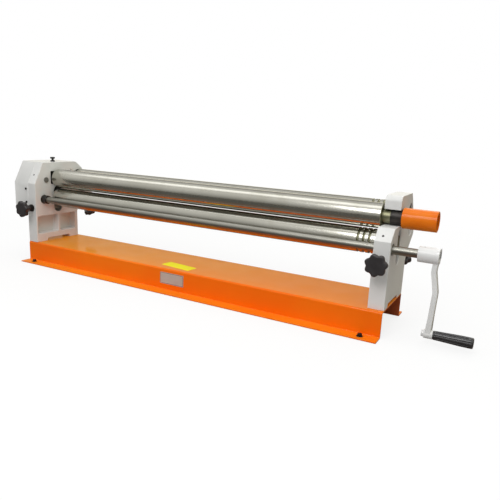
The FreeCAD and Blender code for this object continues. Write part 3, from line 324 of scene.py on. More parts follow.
@dataclass(frozen=True)
class Grained(Finish):
    """A surface with one grain, which the subclasses make plain, moulded or brushed.

    Attributes:
        grain_mm: Width of the grain that shows.
        depth_mm: Depth of the grain.
        detail: Number of finer layers in the grain.
        rasp: Strength of the finer layers.
        relief: Strength of the grain's bump.
        drawn: Share of the grain's frequency that is left along X.
        polish_mm: Size of the polished areas, 0 where the gloss follows the grain.
        metallic: 1 for bare metal, less under oxide or lacquer, 0 for plastic.
        level: Strength of the reflection of what isn't metal.
    """

    grain_mm: float = 3.0
    depth_mm: float = 0.05
    detail: float = 5.0
    rasp: float = 0.6
    relief: float = 0.4
    drawn: float = 1.0
    polish_mm: float = 0.0
    metallic: float = 1.0
    level: float = 0.5

    def build(self, tree: Tree) -> None:
        """Grain in the bump, grain or polish in the roughness, over the drifting colour.

        Args:
            tree: The material's node tree.
        """
        at, tone = self.drift(tree)
        if self.drawn != 1.0:
            at = {"Vector": add_node(tree, "Mapping", {"Scale": (self.drawn, 1.0, 1.0)}, at)}
        polish = grain = add_node(tree, "TexNoise", {"Scale": 1 / (self.grain_mm * MM),
                                                     "Detail": self.detail, "Roughness": self.rasp}, at)
        if self.polish_mm:
            polish = add_node(tree, "TexNoise", {"Scale": 1 / (self.polish_mm * MM), "Detail": 3.0}, at)
        bump = add_node(tree, "Bump", {"Strength": self.relief, "Distance": self.depth_mm * MM},
                        {"Height": grain})
        shader = add_node(tree, "BsdfPrincipled",
                          {"Metallic": self.metallic, "Specular IOR Level": self.level},
                          {"Base Color": tone, "Roughness": self.vary(tree, polish), "Normal": bump})
        add_node(tree, "OutputMaterial", links={"Surface": shader})


@dataclass(frozen=True)
class PlainMetal(Grained):
    """Machined, cast or plated metal with a fine even grain."""


@dataclass(frozen=True)
class Moulding(Grained):
    """Moulded plastic or printed film: not metal, a moulded grain with thumb-sized polish."""

    grain_mm: float = 2.0
    depth_mm: float = 0.04
    detail: float = 3.0
    rasp: float = 0.5
    relief: float = 0.5
    polish_mm: float = 18.0
    metallic: float = 0.0
    spread: ClassVar[Pair] = (0.08, 0.08)


@dataclass(frozen=True)
class BrushedPlate(Grained):
    """Brushed sheet under a clear lacquer: long fine strokes along X."""

    grain_mm: float = 1.2
    depth_mm: float = 0.02
    detail: float = 3.0
    rasp: float = 0.5
    relief: float = 0.3
    drawn: float = 0.03
    metallic: float = 0.3
    spread: ClassVar[Pair] = (0.08, 0.1)


# Stove enamel, sprayed on bent sheet and baked: saturated and glossy, with a painted yellow sheen at a flat
# angle that stands in for the reflection of warm surroundings.
BASE_ENAMEL = Enamel("stove_enamel_orange", Slot.BASE_PAINT, "#fc7808", "#fa6e04", 0.36, 260.0, "#ff9a45",
                     peel_mm=9.0, peel_depth_mm=0.02, gloss=0.35, level=0.05, painted_sheen=0.75)
# Stove enamel inside the channel: the orange drawn darker, browner and dull, as painted shade on the
# channel's shadowed inside.
SHADED_INNER_ENAMEL = Enamel("stove_enamel_painted_shade", Slot.BASE_PAINT, "#c06038", "#ac5531", 0.5, 120.0, "#c06038",
                     gloss=0.0, level=0.1)
# Stove enamel sprayed on tube: a shade yellower at a flat angle, from a weaker painted sheen.
TUBE_ENAMEL = Enamel("stove_enamel_tube", Slot.ORANGE_PAINT, "#ec7a14", "#e87010", 0.34, 40.0, "#ff9a45",
                     peel_mm=6.0, level=0.1, painted_sheen=0.2)
# Machine enamel, sprayed on a cast skin that was filled but not polished flat: light grey, satin.
HOUSING_ENAMEL = Enamel("machine_enamel_grey", Slot.HOUSING_PAINT, "#e2e2e1", "#dbdbda", 0.42, 120.0,
                        "#eeedea", peel_mm=6.0, grain_mm=14.0)
# Machine enamel sprayed on smooth bar and tube: paler and glossier than on the castings.
CRANK_ENAMEL = Enamel("machine_enamel_crank", Slot.HOUSING_PAINT, "#e9e9e9", "#e2e2e2", 0.34, 60.0,
                      "#f2f2f0", peel_mm=5.0, gloss=0.35)
# Carbon steel, cylindrically ground: a slightly warm grey mirror, blurred by the grinding rings.
ROLL_STEEL = TurnedSteel("ground_carbon_steel", Slot.GROUND_STEEL, "#c6c5bd", "#bcbbb2", 0.2, 240.0)
# Carbon steel as turned, on necks, ends and grooves: dull and olive under bearing oil, and drawn darker than
# the rolls as painted shade in the grooves and on the necks.
JOURNAL_STEEL = TurnedSteel("oiled_turned_steel_and_shade", Slot.GROUND_STEEL, "#8f8e74", "#7f7e66", 0.42, 60.0,
                            ring_mm=2.0, film="#6a6648")
# Bright bar, cold drawn: a little duller and greyer than the rolls.
SHAFT_STEEL = TurnedSteel("bright_drawn_bar", Slot.GROUND_STEEL, "#9a9992", "#8f8e87", 0.4, 160.0,
                          ring_mm=4.0)
# Gear steel, hobbed: grey flanks, dark with oil between the teeth.
GEAR_STEEL = PlainMetal("hobbed_steel", Slot.GEAR_STEEL, "#8b8a85", "#6d6b64", 0.38, 30.0)
# Steel, zinc plated: pale, faintly cool, even.
ZINC_STEEL = PlainMetal("zinc_plated_steel", Slot.ZINC_STEEL, "#bfc0c0", "#aeb0b2", 0.34, 25.0, grain_mm=4.0)
# Steel, phosphated: mid grey, matt.
PLUG_STEEL = PlainMetal("phosphated_steel", Slot.BLACKENED_STEEL, "#8b8a84", "#7a7973", 0.5, 12.0,
                        metallic=0.6)
# Steel, black oxide from a hot bath: nearly black, satin, the metal only just showing.
BLACK_STEEL = PlainMetal("black_oxide_steel", Slot.BLACKENED_STEEL, "#3a3634", "#2c2928", 0.42, 20.0,
                         metallic=0.6)
# Bearing bronze, bored and turned: greenish brown with old oil.
BRONZE = PlainMetal("bearing_bronze", Slot.BRONZE, "#8d8266", "#6f6a55", 0.42, 30.0)
# Grey cast iron, machined: dark grey with open grain.
CAST_IRON = PlainMetal("machined_cast_iron", Slot.CAST_IRON, "#6a6865", "#565452", 0.5, 30.0, grain_mm=4.0,
                       depth_mm=0.1)
# Thermoset, hot pressed in a mould, of the star knobs: black, satin.
KNOB_PLASTIC = Moulding("moulded_thermoset", Slot.BLACK_PLASTIC, "#2e2b2d", "#353234", 0.42, 25.0)
# Hard plastic, injection moulded, of the crank's grip: black, shinier than the knobs.
GRIP_PLASTIC = Moulding("moulded_grip", Slot.BLACK_PLASTIC, "#2d2d2f", "#343436", 0.28, 30.0, grain_mm=3.0)
# Nylon, injection moulded, of the oil cup: black, dull.
CUP_PLASTIC = Moulding("black_nylon", Slot.BLACK_PLASTIC, "#262526", "#2d2c2d", 0.5, 12.0)
# Self-adhesive vinyl film, cast and left bare: flat bright yellow.
STICKER_VINYL = Moulding("yellow_vinyl", Slot.BASE_PAINT, "#fff714", "#fff210", 0.5, 60.0, grain_mm=6.0,
                         depth_mm=0.02, level=0.15)
# Aluminium sheet, brushed, lacquered and left bare: pale, with a soft sheen along the strokes.
PLATE_ALUMINIUM = BrushedPlate("brushed_aluminium", Slot.ZINC_STEEL, "#d0c9c1", "#c5bdb5", 0.42, 60.0)
# Screen-printed ink of the plate's border line: grey, matt.
BORDER_INK = Moulding("printed_ink", Slot.ZINC_STEEL, "#6a6460", "#5c5753", 0.6, 20.0, depth_mm=0.01,
                      level=0.2)


# ------------------------------------------------------------------ mesh building
class Shape:
    """A mesh under construction, in metres, from sizes given in millimetres."""

    def __init__(self) -> None:
        """Start with an empty mesh."""
        self.mesh = bmesh.new()

    def turn(self, profile: Profile, steps: int = 96, closed: bool = False,
             place: Matrix | None = None) -> list[Vert]:
        """Spin an (x, radius) profile about the X axis.

        Args:
            profile: Steps of the half section, in millimetres.
            steps: Number of facets round the axis.
            closed: Whether the profile is a ring that does not reach the axis.
            place: Where the turned piece goes.

        Returns:
            The new vertices.
        """
        before = set(self.mesh.verts)
        chain = [self.mesh.verts.new((x * MM, 0.0, radius * MM)) for x, radius in profile]
        pairs = list(zip(chain, chain[1:])) + ([(chain[-1], chain[0])] if closed else [])
        edges = [self.mesh.edges.new(pair) for pair in pairs]
        bmesh.ops.spin(self.mesh, geom=chain + edges, cent=(0, 0, 0), axis=(1, 0, 0), dvec=(0, 0, 0),
                       angle=2 * math.pi, steps=steps, use_merge=True, use_duplicate=False)
        made = [v for v in self.mesh.verts if v not in before]
        bmesh.ops.remove_doubles(self.mesh, verts=made, dist=WELD)
        made = [v for v in made if v.is_valid]
        if place:
            bmesh.ops.transform(self.mesh, matrix=place, verts=made)
        return made

    def move(self, place: Matrix) -> None:
        """Bring everything made so far to its place."""
        bmesh.ops.transform(self.mesh, matrix=place, verts=self.mesh.verts[:])

    def round_edges(self, edges: list[Edge], width: float, clamp: bool = True) -> list[Face]:
        """Bevel edges to a round of a width in millimetres, and return the new faces."""
        return bmesh.ops.bevel(self.mesh, geom=edges, offset=width * MM, offset_type="OFFSET", segments=2,
                               profile=0.5, affect="EDGES", clamp_overlap=clamp, material=-1)["faces"]

    def raise_faces(self, faces: list[Face], height: float) -> list[Any]:
        """Extrude faces along Z.

        Args:
            faces: The faces.
            height: How far, in millimetres.

        Returns:
            All the new geometry.
        """
        raised = bmesh.ops.extrude_face_region(self.mesh, geom=faces)["geom"]
        verts = [g for g in raised if isinstance(g, Vert)]
        bmesh.ops.translate(self.mesh, vec=(0, 0, height * MM), verts=verts)
        return raised

    def prism(self, corners: Profile, depth: float, radius: float, segments: int = 5) -> None:
        """Extrude an (x, y) outline with rounded corners upwards from z = 0.

        Args:
            corners: Outline corners in order, in millimetres.
            depth: Height of the prism.
            radius: Radius of its upright corners.
            segments: Facets in each corner.
        """
        ring = [self.mesh.verts.new((x * MM, y * MM, 0.0)) for x, y in corners]
        self.mesh.faces.new(ring)
        rounded = bmesh.ops.bevel(self.mesh, geom=ring, offset=radius * MM, offset_type="OFFSET",
                                  segments=segments, profile=0.5, affect="VERTICES", material=-1)
        self.raise_faces([next(f for v in rounded["verts"] for f in v.link_faces)], depth)

    def copy_node(self, node: str) -> None:
        """Take a welded copy of a CAD node's mesh, its flat faces joined up.

        Args:
            node: The CAD node.
        """
        self.mesh.from_mesh(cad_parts[node].data)
        bmesh.ops.remove_doubles(self.mesh, verts=self.mesh.verts[:], dist=WELD)
        bmesh.ops.dissolve_limit(self.mesh, angle_limit=math.radians(FLAT_DEG),
                                 use_dissolve_boundaries=False, verts=self.mesh.verts[:],
                                 edges=self.mesh.edges[:], delimit={"NORMAL"})

    def to_object(self, name: str, sharp_deg: float = 35.0, outward: bool = True) -> bpy.types.Object:
        """Write the mesh to a smooth-shaded object at the origin.

        Args:
            name: Name of the object.
            sharp_deg: Edges steeper than this stay sharp.
            outward: Whether to turn the faces outwards first.

        Returns:
            The new object, linked to the scene.
        """
        if outward:
            bmesh.ops.recalc_face_normals(self.mesh, faces=self.mesh.faces[:])
        data = bpy.data.meshes.new(name)
        self.mesh.to_mesh(data)
        self.mesh.free()
        data.shade_smooth()
        data.set_sharp_from_angle(angle=math.radians(sharp_deg))
        piece = bpy.data.objects.new(name, data)
        bpy.context.scene.collection.objects.link(piece)
        return piece


def centre(node: str) -> Vector:
    """Return the middle of a CAD node's box, in millimetres."""
    low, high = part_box(node)
    return (low + high) / (2 * MM)


def shift(x: float = 0.0, y: float = 0.0, z: float = 0.0) -> Matrix:
    """Return a translation given in millimetres."""
    return Matrix.Translation(Vector((x, y, z)) * MM)


def facing(direction: Vector) -> Matrix:
    """Return the turn that brings +Z onto a direction, in the sense that a part is screwed on."""
    return Vector((0, 0, 1)).rotation_difference(direction).to_matrix().to_4x4()


def spun(degrees: float, axis: str = "Z") -> Matrix:
    """Return a turn about one of the axes."""
    return Matrix.Rotation(math.radians(degrees), 4, axis)


@dataclass(frozen=True)
class OilHole:
    """A small drilled hole whose mouth is opened up, so that it stays open beside the rounded edges.

    Attributes:
        mouth: Middle of its mouth, in millimetres.
        slope: Run and rise, as (y, z), of the sloping face that it is drilled square to.
        radius: Radius as drilled.
        growth: How much wider it is drawn.
        depth: How deep it goes at most.
        margin: How far a vertex may lie off the wall.
    """

    mouth: Point
    slope: Pair
    radius: float = 2.0
    growth: float = 1.6
    depth: float = 12.0
    margin: float = 0.3

    def offset(self, point: Vector) -> tuple[Vector, float]:
        """Measure a point against the hole.

        Args:
            point: The point, in metres.

        Returns:
            Its way off the hole's axis and its depth, in millimetres.
        """
        into = Vector((0, self.slope[1], -self.slope[0])).normalized()
        way = point / MM - Vector(self.mouth)
        deep = way.dot(into)
        return way - into * deep, deep

    def holds(self, vert: Vert) -> bool:
        """Return whether a vertex is on the hole's wall."""
        off, deep = self.offset(vert.co)
        return off.length < self.radius + self.margin and abs(deep) < self.depth

    def open_up(self, mesh: bmesh.types.BMesh) -> set[Edge]:
        """Widen the hole in a mesh and give its wall the second finish, which paints the shade in the hole.

        Args:
            mesh: The mesh.

        Returns:
            The hole's edges, which keep their corner.
        """
        wall = [v for v in mesh.verts if self.holds(v)]
        edges = {e for v in wall for e in v.link_edges if all(self.holds(w) for w in e.verts)}
        for face in {f for e in edges for f in e.link_faces if all(self.holds(v) for v in f.verts)}:
            face.material_index = SECOND
        for vert in wall:
            vert.co += self.offset(vert.co)[0] * (self.growth - 1) * MM
        return edges


class Assembly:
    """What every sub-assembly can do: dress CAD nodes and add pieces."""

    def dress(self, finish: Finish, *nodes: str) -> None:
        """Give CAD nodes a finish.

        Args:
            finish: The finish.
            *nodes: Names of the CAD nodes.
        """
        for node in nodes:
            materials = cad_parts[node].data.materials
            materials.clear()
            materials.append(finish.material())
            LOG.info("dressed %s in %s", node, finish.name)

    def add(self, piece: bpy.types.Object, body: Body, finish: Finish, *replaced: str,
            second: Finish | None = None) -> bpy.types.Object:
        """Finish a new piece and let it ride on its body.

        Args:
            piece: The piece, in place.
            body: The body that it moves with.
            finish: Its finish.
            *replaced: CAD nodes that it stands for.
            second: Finish of its faces in the second material slot.

        Returns:
            The piece.
        """
        for layer in filter(None, (finish, second)):
            piece.data.materials.append(layer.material())
        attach(piece, body.value)
        if replaced:
            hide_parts(*replaced)
        LOG.info("added %s on %s, %d faces", piece.name, body.value, len(piece.data.polygons))
        return piece

    def soften(self, node: str, name: str, body: Body, finish: Finish, width: float,
               hole: OilHole | None = None, second: Finish | None = None) -> bpy.types.Object:
        """Replace a CAD node by a copy whose sharp edges are rounded and marked for wear.

        Args:
            node: The CAD node.
            name: Name of the copy.
            body: The body that it moves with.
            finish: Its finish.
            width: Width of the rounds, in millimetres.
            hole: A small hole that is opened up, not rounded, and drawn dark inside as painted shade.
            second: Finish of the hole, or of faces chosen later.

        Returns:
            The rounded copy.
        """
        shape = Shape()
        shape.copy_node(node)
        layer = shape.mesh.faces.layers.float.new(WEAR)
        kept = hole.open_up(shape.mesh) if hole else set()
        edges = [e for e in shape.mesh.edges if len(e.link_faces) == 2
                 and e.calc_face_angle() > math.radians(ROUNDED_DEG) and e not in kept]
        for face in shape.round_edges(edges, width, clamp=False):
            face[layer] = 1.0
        piece = shape.to_object(name, SOFTENED_SHARP_DEG, outward=False)
        weighted = piece.modifiers.new("Flat faces stay flat", "WEIGHTED_NORMAL")
        weighted.keep_sharp = True
        return self.add(piece, body, finish, node, second=second)


# ------------------------------------------------------------------ sub-assemblies
@dataclass
class BasePlate(Assembly):
    """Bent-sheet base with its bare name plate, bare sticker and floor bolts."""

    web_y: float = -108.5
    top_z: float = 75.0
    sheet: float = 4.0
    sheet_slack: float = 0.5
    round_width: float = 0.7
    plate_x: Pair = (-49.0, 46.0)
    plate_z: Pair = (23.0, 62.0)
    plate_thickness: float = 0.8
    plate_corner: float = 2.0
    plate_margin: float = 1.4
    plate_line: float = 1.1
    line_depth: float = 0.1
    rivet_inset: float = 4.0
    rivet_r: float = 1.5
    rivet_flatness: float = 0.5
    sticker_centre: Pair = (-11.0, -56.0)
    sticker_size: Pair = (122.0, 46.0)
    sticker_turn_deg: float = -7.0
    sticker_thickness: float = 0.25
    sticker_corner: float = 5.0
    flange_top: float = 4.0
    bolt_x: float = 650.0
    bolt_y: float = 129.0
    washer_r: float = 9.0
    washer_thickness: float = 1.6
    washer_edge: float = 0.4
    head_r: float = 7.0
    head_height: float = 6.5
    head_edge: float = 0.9

    def build(self) -> None:
        """Dress the base and add its small pieces."""
        channel = self.soften("base_channel", "base_sheet", Body.STAND, BASE_ENAMEL, self.round_width,
                              second=SHADED_INNER_ENAMEL)
        # The channel's inside takes the darker enamel: painted shade.
        self.paint_inner_shade(channel)
        self.dress(ZINC_STEEL, "housing_bolts")
        self.name_plate()
        self.sticker()
        for x, y in product((-self.bolt_x, self.bolt_x), (-self.bolt_y, self.bolt_y)):
            self.floor_bolt(x, y)

    def paint_inner_shade(self, channel: bpy.types.Object) -> None:
        """Give the inside of the base sheet the darker enamel, which paints its shade.

        Args:
            channel: The base sheet.
        """
        half_width = abs(self.web_y) - self.sheet + self.sheet_slack
        height = self.top_z - self.sheet + self.sheet_slack
        for face in channel.data.polygons:
            middle = face.center / MM
            if abs(middle.y) < half_width and middle.z < height:
                face.material_index = SECOND

    def name_plate(self) -> None:
        """A thin bare plate with a printed border line and four rivets on the front web."""
        shape = Shape()
        width = self.plate_x[1] - self.plate_x[0]
        height = self.plate_z[1] - self.plate_z[0]
        shape.prism([(0, 0), (width, 0), (width, height), (0, height)], self.plate_thickness,
                    self.plate_corner, 4)
        top = max(shape.mesh.faces, key=lambda f: f.calc_center_median().z)
        bmesh.ops.inset_region(shape.mesh, faces=[top], thickness=self.plate_margin * MM, depth=0.0)
        line = bmesh.ops.inset_region(shape.mesh, faces=[top], thickness=self.plate_line * MM,
                                      depth=-self.line_depth * MM)["faces"]
        for face in line:
            face.material_index = SECOND
        inset = self.rivet_inset
        for x, y in product((inset, width - inset), (inset, height - inset)):
            flat = shift(x, y, self.plate_thickness) @ Matrix.Diagonal((1, 1, self.rivet_flatness, 1))
            bmesh.ops.create_uvsphere(shape.mesh, u_segments=16, v_segments=8, radius=self.rivet_r * MM,
                                      matrix=flat)
        shape.move(shift(self.plate_x[0], self.web_y, self.plate_z[0]) @ spun(90.0, "X"))
        self.add(shape.to_object("name_plate_bare"), Body.STAND, PLATE_ALUMINIUM, second=BORDER_INK)

    def sticker(self) -> None:
        """A bare yellow sticker on the base top, a little askew."""
        shape = Shape()
        half_x, half_y = self.sticker_size[0] / 2, self.sticker_size[1] / 2
        shape.prism([(-half_x, -half_y), (half_x, -half_y), (half_x, half_y), (-half_x, half_y)],
                    self.sticker_thickness, self.sticker_corner)
        shape.move(shift(*self.sticker_centre, self.top_z) @ spun(self.sticker_turn_deg))
        self.add(shape.to_object("sticker_bare"), Body.STAND, STICKER_VINYL)

    def floor_bolt(self, x: float, y: float) -> None:
        """A black hexagon bolt on a washer in one flange hole.

        Args:
            x: X of the hole.
            y: Y of the hole.
        """
        shape = Shape()
        thick, edge = self.washer_thickness, self.washer_edge
        shape.turn([(0.0, 0.0), (0.0, self.washer_r), (thick - edge, self.washer_r),
                    (thick, self.washer_r - edge), (thick, 0.0)], 40, place=spun(-90.0, "Y"))
        head = bmesh.ops.create_cone(shape.mesh, cap_ends=True, segments=6, radius1=self.head_r * MM,
                                     radius2=self.head_r * MM, depth=self.head_height * MM,
                                     matrix=shift(z=thick + self.head_height / 2))["verts"]
        shape.round_edges(list({e for v in head for e in v.link_edges}), self.head_edge)
        shape.move(shift(x, y, self.flange_top))
        name = f"floor_bolt_{'front' if y < 0 else 'back'}_{'left' if x < 0 else 'right'}"
        self.add(shape.to_object(name), Body.STAND, BLACK_STEEL)


@dataclass
class Housings(Assembly):
    """The two castings, the gear cover, and what is fixed in them."""

    round_width: float = 1.4
    cover_round: float = 1.0
    cup_r: float = 9.0
    cup_height: float = 18.0
    # Shares of the cup's height and radius, from its foot up over the waist to the lid.
    cup_steps: tuple[Pair, ...] = (
        (0.0, 0.0), (0.0, 0.88), (0.05, 0.95), (0.24, 0.95), (0.3, 0.55), (0.42, 0.42), (0.58, 0.45),
        (0.66, 0.9), (0.7, 1.0), (0.93, 1.0), (0.99, 0.88), (1.0, 0.7), (1.0, 0.0))
    plug_at: Point = (-655.0, -54.5, 314.5)
    plug_r: float = 10.5
    plug_thickness: float = 3.0
    plug_edge: float = 0.4
    plug_slot: float = 3.2
    plug_slot_depth: float = 1.6
    plug_turn_deg: float = 35.0
    oil_holes: tuple[OilHole, ...] = (OilHole((-677.0, -90.6, 334.0), (41.0, 80.0)),
                                      OilHole((674.0, -81.6, 277.0), (31.0, 32.5)))

    def build(self) -> None:
        """Round and dress the castings and their fittings."""
        for side, hole in zip(("left", "right"), self.oil_holes):
            # Each oil hole's wall takes black steel: painted shade in the hole.
            self.soften(f"{side}_housing", f"{side}_casting", Body.STAND, HOUSING_ENAMEL, self.round_width,
                        hole, BLACK_STEEL)
        self.soften("gear_cover", "gear_cover_shell", Body.STAND, HOUSING_ENAMEL, self.cover_round)
        self.dress(BLACK_STEEL, "cover_screws", "front_gland_left", "front_gland_right")
        self.dress(BRONZE, "drive_bush_left", "drive_bush_right")
        self.oil_cup()
        self.plug()

    def plug(self) -> None:
        """Slotted cap that closes the bore beside the upper roll's bearing."""
        shape = Shape()
        thick, slot = self.plug_thickness, self.plug_slot
        bmesh.ops.create_circle(shape.mesh, cap_ends=True, segments=48, radius=self.plug_r * MM)
        raised = shape.raise_faces(shape.mesh.faces[:], thick)
        shape.round_edges([g for g in raised if isinstance(g, Edge)], self.plug_edge)
        # The top face, the largest and highest, is cut along both sides of the slot.
        for side in (-slot / 2, slot / 2):
            top = max(shape.mesh.faces, key=lambda f: (round(f.calc_center_median().z, 6), f.calc_area()))
            bmesh.ops.bisect_plane(shape.mesh, geom=[top, *top.edges, *top.verts],
                                   plane_co=(0, side * MM, 0), plane_no=(0, 1, 0), dist=CUT)
        level = (thick - self.plug_edge / 8) * MM
        strip = min((f for f in shape.mesh.faces if f.calc_center_median().z > level),
                    key=lambda f: abs(f.calc_center_median().y))
        shape.raise_faces([strip], -self.plug_slot_depth)
        shape.move(shift(*self.plug_at) @ facing(Vector((1, 0, 0))) @ spun(self.plug_turn_deg))
        self.add(shape.to_object("slotted_plug"), Body.STAND, PLUG_STEEL, "bearing_plug")

    def oil_cup(self) -> None:
        """Spool-shaped oil cup with a lid, on the left casting."""
        low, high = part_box("oil_cup")
        middle = (low + high) / 2
        shape = Shape()
        shape.turn([(rise * self.cup_height, share * self.cup_r) for rise, share in self.cup_steps], 48,
                   place=Matrix.Translation((middle.x, middle.y, low.z)) @ spun(-90.0, "Y"))
        self.add(shape.to_object("oil_cup_spool"), Body.STAND, CUP_PLASTIC, "oil_cup")


@dataclass
class Rolls(Assembly):
    """The three rolls with their journals, grooves and bearings."""

    radius: float = 36.0
    end: float = 645.0
    edge: float = 1.5
    neck_r: float = 20.0
    journal_r: float = 15.0
    neck_end: float = 651.7
    journal_end: float = 696.0
    seat_r: float = 12.0
    seat_start: float = 708.0
    lower_gear_end: float = 746.0
    upper_gear_end: float = 722.0
    upper_reach: float = 5.0
    upper_neck_end: float = 672.0
    upper_left_neck: float = 655.7
    upper_journal_end: float = 720.0
    bevel: float = 1.0
    groove_r: float = 3.6
    groove_from_end: float = 21.0
    groove_pitch: float = 16.5
    groove_facets: int = 8
    grooves: int = 3
    ground_depth: float = 0.6
    steps: int = 128

    def build(self) -> None:
        """Turn the rolls and dress their gears and bearings."""
        plain = self.right_side(self.end, self.neck_end, self.journal_end)
        reach = self.end + self.upper_reach
        lower = self.gear_side(self.lower_gear_end, self.neck_end) + self.body(self.end, True) + plain
        upper = (self.gear_side(self.upper_gear_end, self.upper_left_neck) + self.body(reach, False)
                 + self.right_side(reach, self.upper_neck_end, self.upper_journal_end))
        rear = [(-x, r) for x, r in reversed(plain)] + self.body(self.end, True) + plain
        self.roll("lower_roll", "lower_roll_turned", lower, Body.LOWER_ROLLER)
        self.roll("upper_roll", "upper_roll_turned", upper, Body.UPPER_ROLLER)
        self.roll("rear_roll", "rear_roll_turned", rear, Body.REAR_ROLLER)
        self.dress(GEAR_STEEL, "lower_roll_gear", "lower_drive_gear", "upper_roll_gear", "drive_pinion",
                   "wedge_left", "wedge_right")
        self.dress(ZINC_STEEL, "lower_end_screw", "upper_end_screw", "pinion_end_screw")
        self.dress(BRONZE, "lower_block_left", "lower_block_right", "rear_block_left", "rear_block_right")
        self.dress(CAST_IRON, "upper_swivel")
        self.dress(BLACK_STEEL, "right_bush")

    def gear_side(self, outer: float, neck: float) -> Profile:
        """Return the left end of a driven roll, from its gear seat to its body."""
        return [(-outer, 0.0), (-outer, self.seat_r - self.bevel), (-outer + self.bevel, self.seat_r),
                (-self.seat_start, self.seat_r), (-self.seat_start, self.journal_r), (-neck, self.journal_r),
                (-neck, self.neck_r), (-self.end, self.neck_r)]

    def right_side(self, start: float, neck: float, outer: float) -> Profile:
        """Return the right end of a roll, from its body over its neck to the end of its journal."""
        return [(start, self.neck_r), (neck, self.neck_r), (neck, self.journal_r),
                (outer - self.bevel, self.journal_r), (outer, self.journal_r - self.bevel), (outer, 0.0)]

    def body(self, right: float, grooved: bool) -> Profile:
        """Return a roll's body, with its wire grooves near the right end.

        Args:
            right: X of the body's right end.
            grooved: Whether the roll has wire grooves.

        Returns:
            The steps of the half section.
        """
        steps = [(-self.end, self.radius - self.edge), (-self.end + self.edge, self.radius)]
        for k in reversed(range(self.grooves if grooved else 0)):
            middle = self.end - self.groove_from_end - k * self.groove_pitch
            for turn in range(self.groove_facets + 1):
                angle = math.pi * turn / self.groove_facets
                steps.append((middle - self.groove_r * math.cos(angle),
                              self.radius - self.groove_r * math.sin(angle)))
        return steps + [(right - self.edge, self.radius), (right, self.radius - self.edge)]

    def roll(self, node: str, name: str, profile: Profile, body: Body) -> None:
        """Turn one roll on the axis of the CAD node that it stands for, ground only on its outside.

        Args:
            node: The CAD node.
            name: Name of the piece.
            profile: Steps of the half section.
            body: The body that it moves with.
        """
        shape = Shape()
        axis = centre(node)
        shape.turn(profile, self.steps, place=shift(0, axis.y, axis.z))
        turned = self.add(shape.to_object(name), body, ROLL_STEEL, node, second=JOURNAL_STEEL)
        # Faces below the ground skin take the darker turned finish, which also paints the shade in the
        # grooves and on the necks.
        for face in turned.data.polygons:
            middle = face.center / MM
            if math.hypot(middle.y - axis.y, middle.z - axis.z) < self.radius - self.ground_depth:
                face.material_index = SECOND


@dataclass
class StarKnob:
    """One moulded seven-lobed knob.

    Attributes:
        node: CAD node that it stands for.
        centre_at: Middle of the star, in millimetres.
        axis: Direction from the star to its hub.
        radius: Radius over the lobes.
    """

    node: str
    centre_at: Vector
    axis: Vector
    radius: float
    lobes: int = 7
    lobe_facets: int = 14
    turn_deg: float = -7.0
    lobe_depth: float = 0.165
    lobe_sharpness: float = 0.8
    thickness: float = 17.0
    hub_length: float = 18.0
    hub_r: float = 13.0
    hub_flare: float = 2.0

    def mesh(self) -> bpy.types.Object:
        """Loft the star through rings from its domed cap to its back, then add its tapered hub.

        Returns:
            The knob, in place.
        """
        shape = Shape()
        thick, facets = self.thickness, self.lobes * self.lobe_facets
        # Share of the radius, share of the lobes' depth and height of each ring, from the cap backwards.
        rings = [(0.2, 0.0, 0.7), (0.4, 0.1, 1.0), (0.6, 0.5, 1.1), (0.8, 1.0, 0.9), (0.9, 1.0, 1.2),
                 (0.96, 1.0, 2.0), (0.99, 1.0, 3.2), (1.0, 1.0, 4.6), (1.0, 1.0, thick - 3.6),
                 (0.98, 1.0, thick - 1.8), (0.93, 1.0, thick - 0.6), (0.86, 1.0, thick), (0.5, 0.2, thick)]
        before: list[Edge] = []
        for k, (share, lobed, z) in enumerate(rings):
            verts = bmesh.ops.create_circle(shape.mesh, cap_ends=k in (0, len(rings) - 1), segments=facets,
                                            radius=self.radius * MM)["verts"]
            for vert in verts:
                angle = math.atan2(vert.co.y, vert.co.x) - math.radians(self.turn_deg)
                wave = 0.5 + 0.5 * math.cos(self.lobes * angle)
                vert.co *= share * (1 - self.lobe_depth * lobed * (1 - wave ** self.lobe_sharpness))
                vert.co.z = z * MM
            edges = list({e for v in verts for e in v.link_edges})
            if before:
                bmesh.ops.bridge_loops(shape.mesh, edges=before + edges)
            before = edges
        foot, tip = self.hub_r + self.hub_flare, thick + self.hub_length
        shape.turn([(thick - 1, 0.0), (thick - 1, foot), (thick, foot), (tip - 1, self.hub_r),
                    (tip, self.hub_r - 1), (tip, 0.0)], 48, place=spun(-90.0, "Y"))
        shape.move(Matrix.Translation((self.centre_at - self.axis * thick / 2) * MM) @ facing(self.axis))
        return shape.to_object(f"{self.node}_star")


@dataclass
class Adjusters(Assembly):
    """Star knobs and screws of the lower roll (front) and the rear roll (back)."""

    screw_x: float = 677.0
    front_r: float = 31.0
    rear_r: float = 26.0
    standoff: float = 43.0
    front_faces: dict[Side, float] = field(default_factory=lambda: {Side.LEFT: -107.0, Side.RIGHT: -94.0})
    screw_z: float = 208.0
    rear_axis: Pair = (112.0, 315.0)
    guide_deg: float = 27.5
    rear_drop: float = 170.0

    def build(self) -> None:
        """Make the four knobs and dress the screws."""
        lean = math.radians(self.guide_deg)
        guide = Vector((0, -math.sin(lean), math.cos(lean)))
        foot = Vector((0, *self.rear_axis)) - guide * self.rear_drop
        for side in Side:
            name = side.name.lower()
            x = side.value * self.screw_x
            front_at = Vector((x, self.front_faces[side] - self.standoff, self.screw_z))
            for row, at, axis, radius in (("front", front_at, Vector((0, 1, 0)), self.front_r),
                                          ("rear", Vector((x, foot.y, foot.z)), guide, self.rear_r)):
                knob = StarKnob(f"{row}_knob_{name}", at, axis, radius)
                self.add(knob.mesh(), Body[f"{row}_{side.name}".upper()], KNOB_PLASTIC, knob.node)
            self.dress(BLACK_STEEL, f"front_screw_{name}")
            self.dress(ZINC_STEEL, f"rear_screw_{name}")


